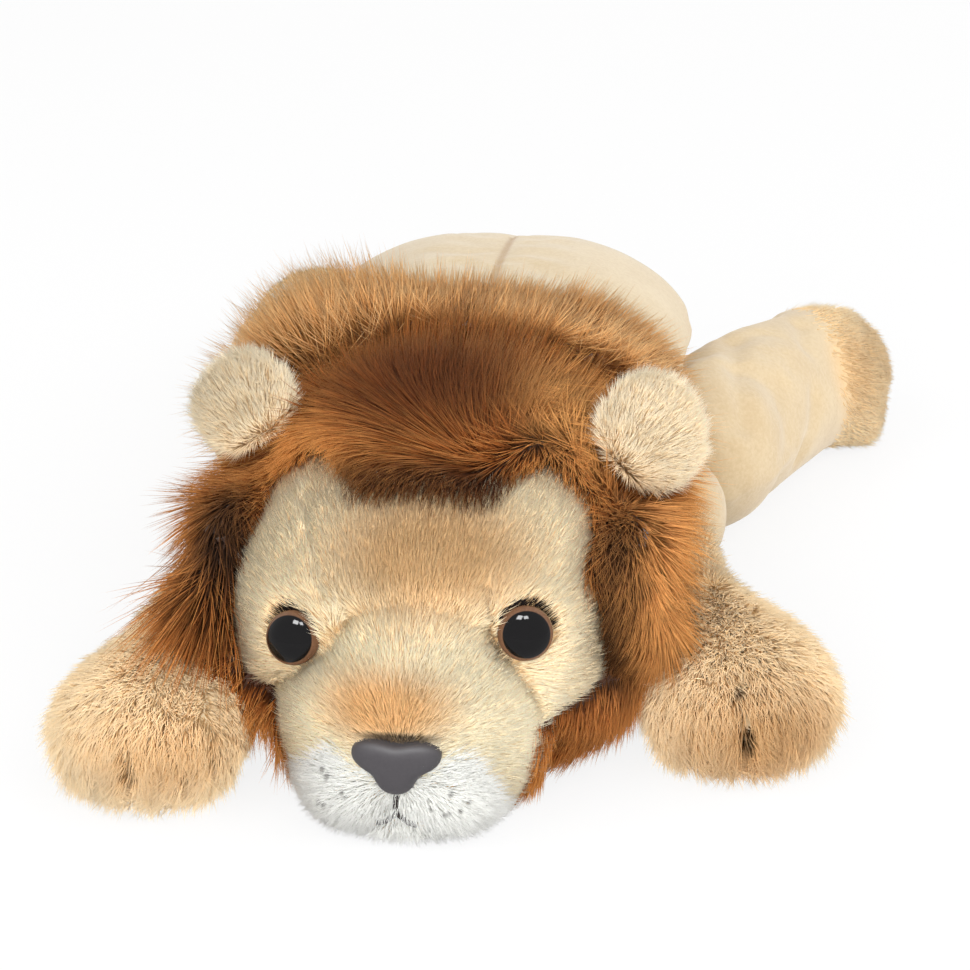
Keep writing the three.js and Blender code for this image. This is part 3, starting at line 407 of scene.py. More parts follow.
@dataclass(frozen=True)
class MouldedFinish:
    """Moulded plastic with a fine surface grain.

    Attributes:
        name: The material's name.
        colour: Its colour.
        roughness: Roughness of the moulding.
        grain: Size in metres of its grain.
        depth: Height in metres of its grain.
    """

    name: str
    colour: Colour
    roughness: float
    grain: float = 0.0008
    depth: float = 0.00005

    def material(self) -> bpy.types.Material:
        """Build the material.

        Returns:
            The new material.
        """
        made, bench, shader = new_material(self.name)
        grain = bench.noise(self.grain, 3.0, 0.6)
        colour = bench.mix(grain, tuple(share * 0.8 for share in self.colour),
                           tuple(min(1.0, share * 1.2) for share in self.colour))
        bump = bench.node("ShaderNodeBump", None, {"Strength": 0.5, "Distance": self.depth, "Height": grain})
        rough = bench.noise(self.grain * 6) * 0.1 + (self.roughness - 0.05)
        finish_shader(bench, shader, colour, roughness=rough, normal=bump.outputs[0])
        return made


def new_material(name: str) -> tuple[bpy.types.Material, NodeBench, bpy.types.Node]:
    """Start a material whose surface is one shader.

    Args:
        name: The material's name.

    Returns:
        The material, the bench that adds its nodes, and its shader node.
    """
    made = bpy.data.materials.new(name)
    made.use_nodes = True
    bench = NodeBench(made.node_tree)
    shader = bench.node("ShaderNodeBsdfPrincipled")
    bench.node("ShaderNodeOutputMaterial", None, {"Surface": shader.outputs[0]})
    return made, bench, shader


def finish_shader(bench: NodeBench, shader: bpy.types.Node, colour: Value, roughness: Number, sheen: float = 0.0,
                  normal: Optional[bpy.types.NodeSocket] = None, gloss: float = 0.5) -> None:
    """Link what varies to a shader and set what doesn't.

    Args:
        bench: The bench that adds the links.
        shader: The shader node.
        colour: Its base colour.
        roughness: A number or a varying roughness.
        sheen: Strength of the soft edge light.
        normal: The output of a bump node.
        gloss: Strength of the plain reflection, 0.5 for plastic.
    """
    bench.tree.links.new(colour.socket, shader.inputs["Base Color"])
    shader.inputs["Specular IOR Level"].default_value = gloss
    if isinstance(roughness, Value):
        bench.tree.links.new(roughness.socket, shader.inputs["Roughness"])
    else:
        shader.inputs["Roughness"].default_value = roughness
    shader.inputs["Sheen Weight"].default_value = sheen
    shader.inputs["Sheen Roughness"].default_value = 0.5
    if normal is not None:
        bench.tree.links.new(normal, shader.inputs["Normal"])


# Meshes


def cad_copy(nodes: Sequence[str]) -> bmesh.types.BMesh:
    """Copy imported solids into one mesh, with their loose corners merged.

    Args:
        nodes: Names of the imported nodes.

    Returns:
        The joined mesh.
    """
    joined = bmesh.new()
    for node in nodes:
        joined.from_mesh(frame["nodes"][node].data)
    bmesh.ops.remove_doubles(joined, verts=joined.verts, dist=1e-6)
    return joined


def mesh_of(shape: bmesh.types.BMesh, name: str) -> bpy.types.Mesh:
    """Turn a shape into a plain mesh and free it.

    Args:
        shape: The shape.
        name: The mesh's name.

    Returns:
        The mesh.
    """
    mesh = bpy.data.meshes.new(name)
    shape.to_mesh(mesh)
    shape.free()
    return mesh


def tree_of(mesh: bpy.types.Mesh) -> BVHTree:
    """A tree that finds places on the mesh's faces."""
    return BVHTree.FromPolygons([vertex.co for vertex in mesh.vertices],
                                [tuple(face.vertices) for face in mesh.polygons])


def evaluated_mesh(piece: bpy.types.Object) -> bpy.types.Mesh:
    """The piece's mesh with its modifiers applied."""
    view = bpy.context.evaluated_depsgraph_get()
    return bpy.data.meshes.new_from_object(piece.evaluated_get(view), depsgraph=view)


def new_piece(name: str, mesh: bpy.types.ID) -> bpy.types.Object:
    """Put a mesh or a curve in the scene as a piece at the origin.

    Args:
        name: The piece's name.
        mesh: Its mesh or curve.

    Returns:
        The piece.
    """
    piece = bpy.data.objects.new(name, mesh)
    bpy.context.scene.collection.objects.link(piece)
    return piece


def apply_modifiers(piece: bpy.types.Object) -> None:
    """Turn the piece's modifiers into its mesh.

    Args:
        piece: The piece.
    """
    mesh = evaluated_mesh(piece)
    piece.modifiers.clear()
    piece.data = mesh


def add_smoothing(piece: bpy.types.Object, rounds: int) -> None:
    """Add a modifier that smooths the piece.

    Args:
        piece: The piece.
        rounds: Rounds of smoothing.
    """
    smooth = piece.modifiers.new("smooth", "SMOOTH")
    smooth.factor = 0.5
    smooth.iterations = rounds


def add_subdivision(piece: bpy.types.Object) -> None:
    """Add a modifier that subdivides the piece once."""
    subdivide = piece.modifiers.new("subdivide", "SUBSURF")
    subdivide.levels = subdivide.render_levels = 1


def rows_of(mesh: bpy.types.Mesh, kind: str) -> np.ndarray:
    """Read three numbers of each vertex.

    Args:
        mesh: The mesh.
        kind: What is read, "co" or "normal".

    Returns:
        One row a vertex.
    """
    flat = np.zeros(len(mesh.vertices) * 3)
    mesh.vertices.foreach_get(kind, flat)
    return flat.reshape(-1, 3)


def places_of(mesh: bpy.types.Mesh) -> np.ndarray:
    """All vertices' places in metres, one a row."""
    return rows_of(mesh, "co")


def normals_of(mesh: bpy.types.Mesh) -> np.ndarray:
    """All vertices' normals, one a row."""
    return rows_of(mesh, "normal")


def move_to(mesh: bpy.types.Mesh, places: np.ndarray) -> None:
    """Put the vertices at these places."""
    mesh.vertices.foreach_set("co", places.astype(np.float32).ravel())
    mesh.update()


def settle(mesh: bpy.types.Mesh, places: np.ndarray) -> None:
    """Put the vertices at these places, and none under the floor."""
    places[:, 2] = np.maximum(places[:, 2], 0.0)
    move_to(mesh, places)


@dataclass
class Groove:
    """A line pressed into a cover, such as a seam or the split between two toes.

    Attributes:
        points: The line's corners, in millimetres from the chin.
        depth: How deep it is, in millimetres.
        width: Its half width, in millimetres.
    """

    points: Line
    depth: float
    width: float


@dataclass
class Swell:
    """A soft bulge of a cover, or a dent where its height is below zero.

    Attributes:
        centre: Its middle, in millimetres from the chin.
        radius: How far it reaches, in millimetres.
        height: How far it moves the cover, in millimetres.
    """

    centre: Place
    radius: float
    height: float


def line_distance(points: np.ndarray, corners: Line) -> np.ndarray:
    """How far each point lies from a bent line.

    Args:
        points: Places, one a row.
        corners: The line's corners.

    Returns:
        The distances.
    """
    nearest = np.full(len(points), np.inf)
    for start, end in zip(corners[:-1], corners[1:]):
        origin, along = np.array(start), np.array(end) - np.array(start)
        share = np.clip(((points - origin) @ along) / (along @ along), 0, 1)
        nearest = np.minimum(nearest, np.linalg.norm(points - origin - share[:, None] * along, axis=1))
    return nearest


def sculpt(mesh: bpy.types.Mesh, grooves: Sequence[Groove] = (), swells: Sequence[Swell] = (),
           share: Union[float, np.ndarray] = 1.0) -> None:
    """Press lines and bulges into a mesh, along its normals.

    Args:
        mesh: The mesh to change.
        grooves: Lines to press in.
        swells: Bulges to raise.
        share: How much of the full movement each vertex makes.
    """
    points, normals = from_chin(places_of(mesh)), normals_of(mesh)
    lift = np.zeros(len(points))
    for swell in swells:
        far = np.linalg.norm(points - np.array(swell.centre), axis=1) / swell.radius
        lift += swell.height * np.exp(-2 * far ** 2)
    for groove in grooves:
        far = line_distance(points, groove.points) / groove.width
        lift -= groove.depth * np.exp(-far ** 2)
    settle(mesh, places_of(mesh) + normals * (lift * share * MM)[:, None])


def stuffed_cover(name: str, nodes: Sequence[str], voxel: float, smoothing: int, swell: float = 0.6,
                  inset: float = 0.0, inset_nodes: Sequence[str] = (),
                  filling: Optional["Filling"] = None) -> bpy.types.Object:
    """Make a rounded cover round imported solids.

    Args:
        name: The piece's name.
        nodes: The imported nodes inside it.
        voxel: Size in millimetres of the remesh.
        smoothing: Rounds of smoothing.
        swell: How far it is pushed out afterwards, in millimetres, for what the smoothing took.
        inset: How far, in millimetres, the faces near inset_nodes are pulled in to leave room for long pile.
        inset_nodes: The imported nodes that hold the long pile's space.
        filling: How it is filled by cloth simulation, where it is.

    Returns:
        The piece.
    """
    piece = new_piece(name, mesh_of(cad_copy(nodes), name))
    remesh = piece.modifiers.new("remesh", "REMESH")
    remesh.mode = "VOXEL"
    remesh.voxel_size = voxel * MM
    add_smoothing(piece, smoothing)
    apply_modifiers(piece)
    if filling is not None:
        plumped(piece, filling)
    if inset:
        near = closeness(piece.data, inset_nodes, PILE_MARGIN)
        move_to(piece.data, places_of(piece.data) - normals_of(piece.data) * (near * inset * MM)[:, None])
        add_smoothing(piece, 10)
    push = piece.modifiers.new("swell", "DISPLACE")
    push.strength = swell * MM
    push.mid_level = 0.0
    add_subdivision(piece)
    apply_modifiers(piece)
    settle(piece.data, places_of(piece.data))
    piece.data.shade_smooth()
    return piece


@dataclass(frozen=True)
class Filling:
    """How a cover is filled by cloth simulation.

    Attributes:
        seams: Lines of the cover that stay in place.
        slack: How much larger the cloth is cut than its form, as a share.
        cap: How far a point may move, in millimetres.
        pressure: Pressure of the filling.
        frames: Frames of the simulation.
    """

    seams: tuple[Groove, ...] = ()
    slack: float = 0.03
    cap: float = 2.0
    pressure: float = 4.0
    frames: int = 18


def plumped(piece: bpy.types.Object, filling: Filling) -> None:
    """Fill a cover like a cushion by cloth simulation, with its seams held, capped near its start.

    Args:
        piece: The closed cover.
        filling: How it is filled.
    """
    start = places_of(piece.data)
    points = from_chin(start)
    held = np.zeros(len(points))
    for seam in filling.seams:
        held = np.maximum(held, ease(line_distance(points, seam.points), seam.width * 3, seam.width))
    group = piece.vertex_groups.new(name="held")
    for index, weight in enumerate(held):
        group.add([index], float(weight), "REPLACE")
    cloth = piece.modifiers.new("filling", "CLOTH")
    cloth.settings.quality = 4
    cloth.settings.vertex_group_mass = "held"
    cloth.settings.use_pressure = True
    cloth.settings.uniform_pressure_force = filling.pressure
    cloth.settings.shrink_min = -filling.slack
    cloth.settings.effector_weights.gravity = 0.0
    cloth.point_cache.frame_start, cloth.point_cache.frame_end = 1, filling.frames
    for step in range(1, filling.frames + 1):
        bpy.context.scene.frame_set(step)
    filled = evaluated_mesh(piece)
    piece.modifiers.clear()
    piece.vertex_groups.clear()
    bpy.context.scene.frame_set(1)
    move = places_of(filled) - start
    far = np.linalg.norm(move, axis=1, keepdims=True)
    move *= np.minimum(1.0, filling.cap * MM / np.maximum(far, 1e-9))
    settle(piece.data, start + move)
    LOG.info("%s: filled, moved up to %.1f mm", piece.name, float(np.max(np.linalg.norm(move, axis=1))) / MM)


def fit_backing(backing: bpy.types.Object, cover: bpy.types.Object, under: np.ndarray) -> None:
    """Keep a backing cloth just outside a cover under its long pile, and sink it elsewhere.

    Args:
        backing: The backing cloth.
        cover: The cover that it lies on.
        under: 1 for each vertex of the backing under long pile, 0 away from it.
    """
    tree = tree_of(cover.data)
    placed = places_of(backing.data)
    for index, share in enumerate(under):
        place = Vector(placed[index])
        spot, normal = tree.find_nearest(place)[:2]
        away = (place - spot).dot(normal)
        wanted = max(away, CLEARANCE * MM) * share - SINKING * MM * (1 - share)
        placed[index] = place + normal * (wanted - away)
    settle(backing.data, placed)


def closeness(mesh: bpy.types.Mesh, nodes: Sequence[str], reach: float) -> np.ndarray:
    """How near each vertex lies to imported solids: 1 on their surface, 0 at reach millimetres and beyond.

    Args:
        mesh: The mesh whose vertices are judged.
        nodes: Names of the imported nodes.
        reach: Where the share ends, in millimetres.

    Returns:
        One share a vertex.
    """
    joined = cad_copy(nodes)
    bmesh.ops.triangulate(joined, faces=joined.faces)
    tree = BVHTree.FromBMesh(joined)
    joined.free()
    far = np.array([tree.find_nearest(Vector(place))[3] for place in places_of(mesh)]) / MM
    return ease(far, reach, reach * 0.4)


# Pile


Flow = Callable[[np.ndarray], np.ndarray]


@dataclass
class Pile:
    """How the strands on an area of cloth stand.

    Attributes:
        strands: Strands a square millimetre.
        length: Their length in millimetres.
        radius: Their radius at the root, in millimetres.
        steps: Faces along a strand.
        seed: The fixed seed.
        lean: How far strands lean along the flow, from 0 to about 1.
        clumps: Clumps a square millimetre.
        pull: How strongly tips gather in their clump, from 0 to 1.
        spread: How much the length differs, as a share.
        unrest: How much the direction differs.
        droop: How far tips bend further along the flow, as a share of the length.
    """

    strands: float
    length: float
    radius: float
    steps: int
    seed: int
    lean: float
    clumps: float
    pull: float
    spread: float = 0.3
    unrest: float = 0.35
    droop: float = 0.3


class PileTree:
    """Geometry nodes that grow tapering strands from a cover."""

    INPUTS = (
        ("Strands", "NodeSocketFloat"), ("Length", "NodeSocketFloat"), ("Radius", "NodeSocketFloat"),
        ("Steps", "NodeSocketInt"), ("Spread", "NodeSocketFloat"), ("Unrest", "NodeSocketFloat"),
        ("Lean", "NodeSocketFloat"), ("Droop", "NodeSocketFloat"), ("Clumps", "NodeSocketFloat"),
        ("Pull", "NodeSocketFloat"), ("Seed", "NodeSocketInt"), ("Finish", "NodeSocketMaterial"),
    )

    def __init__(self) -> None:
        """Build the tree."""
        self.group = bpy.data.node_groups.new("pile", "GeometryNodeTree")
        self.bench = NodeBench(self.group)
        self.sockets: dict[str, str] = {}
        face = self.group.interface
        face.new_socket("Cover", in_out="INPUT", socket_type="NodeSocketGeometry")
        for name, kind in self.INPUTS:
            self.sockets[name] = face.new_socket(name, in_out="INPUT", socket_type=kind).identifier
        face.new_socket("Pile", in_out="OUTPUT", socket_type="NodeSocketGeometry")
        self._build()

    def _vector(self, operation: str, *values: object) -> bpy.types.NodeSocket:
        """Add a Vector Math node and give its vector."""
        return self.bench.node("ShaderNodeVectorMath", {"operation": operation}, dict(enumerate(values))).outputs[0]

    def _scaled(self, vector: object, share: object) -> bpy.types.NodeSocket:
        """A vector times a number."""
        return self.bench.node("ShaderNodeVectorMath", {"operation": "SCALE"}, {0: vector, "Scale": share}).outputs[0]

    def _number(self, operation: str, *values: object) -> bpy.types.NodeSocket:
        """Add a Math node and give its result."""
        return self.bench.node("ShaderNodeMath", {"operation": operation}, dict(enumerate(values))).outputs[0]

    def _stored(self, geometry: object, name: str, kind: str, value: object,
                domain: str = "POINT") -> bpy.types.NodeSocket:
        """Store a named attribute and give the geometry."""
        made = self.bench.node("GeometryNodeStoreNamedAttribute", {"data_type": kind, "domain": domain},
                               {"Geometry": geometry, "Name": name, "Value": value})
        return made.outputs[0]

    def _named(self, name: str, kind: str) -> bpy.types.NodeSocket:
        """Read a named attribute."""
        made = self.bench.node("GeometryNodeInputNamedAttribute", {"data_type": kind}, {"Name": name})
        return made.outputs[0]

    def _build(self) -> None:
        """Add and link all nodes."""
        bench = self.bench
        given = bench.node("NodeGroupInput").outputs
        cover = given["Cover"]
        second_seed = self._number("ADD", given["Seed"], 7)
        density = self._number("MULTIPLY", given["Strands"], self._named("cover", "FLOAT"))
        scatter = bench.node("GeometryNodeDistributePointsOnFaces", None,
                             {"Mesh": cover, "Density": density, "Seed": given["Seed"]})
        centres = bench.node("GeometryNodeDistributePointsOnFaces", None,
                             {"Mesh": cover, "Density": given["Clumps"], "Seed": second_seed})
        place = bench.node("GeometryNodeInputPosition").outputs[0]

        nearest = bench.node("GeometryNodeSampleNearest", {"domain": "POINT"},
                             {"Geometry": centres.outputs["Points"], "Sample Position": place})
        centre = bench.node("GeometryNodeSampleIndex", {"data_type": "FLOAT_VECTOR", "domain": "POINT"},
                            {"Geometry": centres.outputs["Points"], "Value": place, "Index": nearest.outputs[0]})
        gather = self._vector("SUBTRACT", centre.outputs[0], place)
        stretch = bench.node("FunctionNodeRandomValue", {"data_type": "FLOAT"},
                             {2: self._number("SUBTRACT", 1.0, given["Spread"]),
                              3: self._number("ADD", 1.0, given["Spread"]), "Seed": given["Seed"]})
        wander = bench.node("FunctionNodeRandomValue", {"data_type": "FLOAT_VECTOR"},
                            {0: (-1, -1, -1), 1: (1, 1, 1), "Seed": second_seed})
        tone = bench.node("FunctionNodeRandomValue", {"data_type": "FLOAT"},
                          {2: 0.0, 3: 1.0, "Seed": self._number("ADD", given["Seed"], 13)})
        points = scatter.outputs["Points"]
        length = self._number("MULTIPLY", self._number("MULTIPLY", given["Length"], stretch.outputs[1]),
                              self._named("reach", "FLOAT"))
        for name, kind, value in (
            ("root", "FLOAT_VECTOR", place), ("stand", "FLOAT_VECTOR", scatter.outputs["Normal"]),
            ("gather", "FLOAT_VECTOR", gather), ("long", "FLOAT", length),
            ("wander", "FLOAT_VECTOR", wander.outputs[0]), ("tone", "FLOAT", tone.outputs[1]),
            ("strand", "FLOAT", bench.node("GeometryNodeInputIndex").outputs[0]),
        ):
            points = self._stored(points, name, kind, value)
        count = bench.node("GeometryNodeAttributeDomainSize", {"component": "POINTCLOUD"}, {"Geometry": points})
        grid = self._number("CEIL", self._number("SQRT", count.outputs["Point Count"]))

        cone = bench.node("GeometryNodeMeshCone", {"fill_type": "NGON"},
                          {"Vertices": 3, "Side Segments": given["Steps"], "Radius Top": 0.0,
                           "Radius Bottom": 1.0, "Depth": 1.0})
        split = bench.node("ShaderNodeSeparateXYZ", None, {0: place})
        blade = self._stored(cone.outputs["Mesh"], "along", "FLOAT", split.outputs["Z"])
        blade = self._stored(blade, "section", "FLOAT_VECTOR",
                             self._vector("MULTIPLY", place, (1.0, 1.0, 0.0)))
        blade = self._stored(blade, "sheet", "FLOAT_VECTOR", cone.outputs["UV Map"], "CORNER")
        placed = bench.node("GeometryNodeInstanceOnPoints", None, {"Points": points, "Instance": blade})
        real = bench.node("GeometryNodeRealizeInstances", None, {"Geometry": placed.outputs[0]}).outputs[0]

        shaped = self._shape(real, given)
        column = self._number("MODULO", self._named("strand", "FLOAT"), grid)
        row = self._number("FLOOR", self._number("DIVIDE", self._named("strand", "FLOAT"), grid))
        cell = bench.node("ShaderNodeCombineXYZ", None, {0: column, 1: row}).outputs[0]
        inside = self._scaled(self._named("sheet", "FLOAT_VECTOR"), 0.8)
        spot = self._scaled(self._vector("ADD", cell, inside), self._number("DIVIDE", 1.0, grid))
        marked = self._stored(shaped, "OFBake", "FLOAT2", spot, "CORNER")
        smooth = bench.node("GeometryNodeSetShadeSmooth", None, {"Geometry": marked}).outputs[0]
        for name in ("root", "stand", "gather", "wander", "section", "long", "strand", "sheet", "comb", "reach",
                     "cover", "lift"):
            smooth = bench.node("GeometryNodeRemoveAttribute", None, {"Geometry": smooth, "Name": name}).outputs[0]
        plain = bench.node("GeometryNodeRealizeInstances", None, {"Geometry": smooth}).outputs[0]
        dressed = bench.node("GeometryNodeSetMaterial", None, {"Geometry": plain, "Material": given["Finish"]})
        bench.node("NodeGroupOutput", None, {"Pile": dressed.outputs[0]})

    def _shape(self, real: bpy.types.NodeSocket, given: bpy.types.NodeOutputs) -> bpy.types.NodeSocket:
        """Bend the upright strands along the flow and into their clumps.

        Args:
            real: The strands, all upright at the origin.
            given: The tree's inputs.

        Returns:
            The bent strands.
        """
        bench = self.bench
        along = self._named("along", "FLOAT")
        comb = self._named("comb", "FLOAT_VECTOR")
        long = self._named("long", "FLOAT")
        stand = self._named("stand", "FLOAT_VECTOR")
        wander = self._scaled(self._named("wander", "FLOAT_VECTOR"), given["Unrest"])
        steep = self._number("MULTIPLY", self._number("SUBTRACT", 1.15, given["Lean"]), self._named("lift", "FLOAT"))
        upright = self._scaled(stand, steep)
        aim = self._vector("ADD", self._vector("ADD", upright, self._scaled(comb, given["Lean"])), wander)
        aim = self._vector("NORMALIZE", aim)
        square = self._number("MULTIPLY", along, along)
        bend = self._number("MULTIPLY", self._number("MULTIPLY", square, long), given["Droop"])
        drawn = self._number("MULTIPLY", square, given["Pull"])
        side = self._vector("NORMALIZE", self._vector("CROSS_PRODUCT", aim, self._vector(
            "ADD", comb, self._vector("ADD", wander, (0.01, 0.02, 0.03)))))
        across = self._vector("CROSS_PRODUCT", side, aim)
        section = bench.node("ShaderNodeSeparateXYZ", None, {0: self._named("section", "FLOAT_VECTOR")}).outputs
        wide = self._number("MULTIPLY", section["X"], given["Radius"])
        deep = self._number("MULTIPLY", section["Y"], given["Radius"])
        spot = self._vector("ADD", self._named("root", "FLOAT_VECTOR"),
                            self._scaled(aim, self._number("MULTIPLY", along, long)))
        for part in (self._scaled(comb, bend), self._scaled(self._named("gather", "FLOAT_VECTOR"), drawn),
                     self._scaled(side, wide), self._scaled(across, deep)):
            spot = self._vector("ADD", spot, part)
        floor = bench.node("ShaderNodeSeparateXYZ", None, {0: spot}).outputs
        kept = bench.node("ShaderNodeCombineXYZ", None,
                          {0: floor["X"], 1: floor["Y"], 2: self._number("MAXIMUM", floor["Z"], FLOOR_GAP)})
        return bench.node("GeometryNodeSetPosition", None,
                          {"Geometry": real, "Position": kept.outputs[0]}).outputs[0]

    def grow(self, name: str, cover: bpy.types.Object, pile: Pile, flow: Flow, share: np.ndarray,
             finish: bpy.types.Material, reach: Optional[np.ndarray] = None,
             lift: Optional[np.ndarray] = None) -> bpy.types.Object:
        """Grow pile on a cover and keep it as a plain mesh.

        Args:
            name: The new piece's name.
            cover: The cover that the strands stand on.
            pile: Their sizes.
            flow: Gives the direction at each point from its place, in millimetres.
            share: How much of the full density each vertex has.
            finish: The strands' material.
            reach: How much of the full length each vertex has.
            lift: How much steeper than usual the strands stand at each vertex.

        Returns:
            The piece.
        """
        mesh = cover.data.copy()
        points, normals = from_chin(places_of(mesh)), normals_of(mesh)
        comb = flow(points)
        comb = unit(comb - normals * np.sum(comb * normals, axis=1, keepdims=True))
        full = np.ones(len(points))
        for label, kind, key, rows in (
            ("comb", "FLOAT_VECTOR", "vector", comb), ("cover", "FLOAT", "value", share),
            ("reach", "FLOAT", "value", full if reach is None else reach),
            ("lift", "FLOAT", "value", full if lift is None else lift),
        ):
            mesh.attributes.new(label, kind, "POINT").data.foreach_set(key, rows.astype(np.float32).ravel())
        ground = new_piece(name, mesh)
        modifier = ground.modifiers.new("pile", "NODES")
        modifier.node_group = self.group
        for label, value in (
            ("Strands", pile.strands / MM ** 2), ("Length", pile.length * MM), ("Radius", pile.radius * MM),
            ("Steps", pile.steps), ("Spread", pile.spread), ("Unrest", pile.unrest), ("Lean", pile.lean),
            ("Droop", pile.droop), ("Clumps", pile.clumps / MM ** 2), ("Pull", pile.pull), ("Seed", pile.seed),
            ("Finish", finish),
        ):
            modifier[self.sockets[label]] = value
        apply_modifiers(ground)
        count = sum(len(face.vertices) - 2 for face in ground.data.polygons)
        LOG.info("%s: %d triangles", name, count)
        return ground


# The lion's parts


def dress(piece: bpy.types.Object, body: str, material: Optional[bpy.types.Material] = None,
          nodes: Sequence[str] = ()) -> bpy.types.Object:
    """Give a piece its material, slot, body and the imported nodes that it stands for.

    Args:
        piece: The piece.
        body: The body that it rides on.
        material: Its material, where it has none yet.
        nodes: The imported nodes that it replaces.

    Returns:
        The same piece.
    """
    if material is not None:
        piece.data.materials.clear()
        piece.data.materials.append(material)
    if nodes:
        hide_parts(*nodes)
    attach(piece, body)
    LOG.info("%s rides on %s", piece.name, body)
    return piece


def flow_from(x: float, y: float, z: float) -> Flow:
    """A flow that leads away from one point."""
    def flow(points: np.ndarray) -> np.ndarray:
        """Directions at these points."""
        return points - np.array((x, y, z))
    return flow


@dataclass
class Body:
    """The body: two back panels sewn along the spine, a belly panel, fibre and a bag of pellets."""

    nodes: tuple[str, ...] = ("back_panel_left", "back_panel_right", "belly_panel", "pellet_bag", "body_filling")
    spine: Line = (
        (0.5, 122, 72), (0.2, 160, 78), (0, 195, 79), (0, 230, 74), (0, 255, 60), (0, 272, 42))
    belly_seam: Line = (
        (42, 143, 13), (44.4, 168, 13), (45.2, 198, 13), (44, 226, 13), (39, 249, 13), (30, 267, 13))
    seam_depth: float = 0.9
    seam_width: float = 0.9

    def build(self, cloth: VelourFinish) -> bpy.types.Object:
        """Make the body's cover, with the seam along its spine.

        Args:
            cloth: Its cloth.

        Returns:
            The cover.
        """
        spine = Groove(self.spine, self.seam_depth, self.seam_width)
        belly = [Groove(tuple((side.sign * x, y, z) for x, y, z in self.belly_seam), self.seam_depth,
                        self.seam_width) for side in Side]
        filling = Filling((spine, *belly), slack=0.03, cap=1.8)
        cover = stuffed_cover("body_cover", self.nodes, voxel=3.0, smoothing=30, swell=0.5, filling=filling)
        sculpt(cover.data, [spine, *belly])
        return dress(cover, "torso", cloth.material(), self.nodes)


def mane_edge(points: np.ndarray) -> np.ndarray:
    """How far each point lies behind the front edge of the mane, in millimetres.

    Args:
        points: Places in millimetres from the chin.

    Returns:
        The distances, below zero on the face.
    """
    wide, high = np.abs(points[:, 0]), points[:, 2]
    edge = 47 + 22 * ease(wide, 12, 34) * ease(high, 54, 66) - 32 * ease(high, 30, 22)
    edge += 3.0 * ease(-points[:, 0], 30, 42) * ease(high, 30, 42) - 3.5 * ease(points[:, 0], 30, 42)
    return points[:, 1] - edge


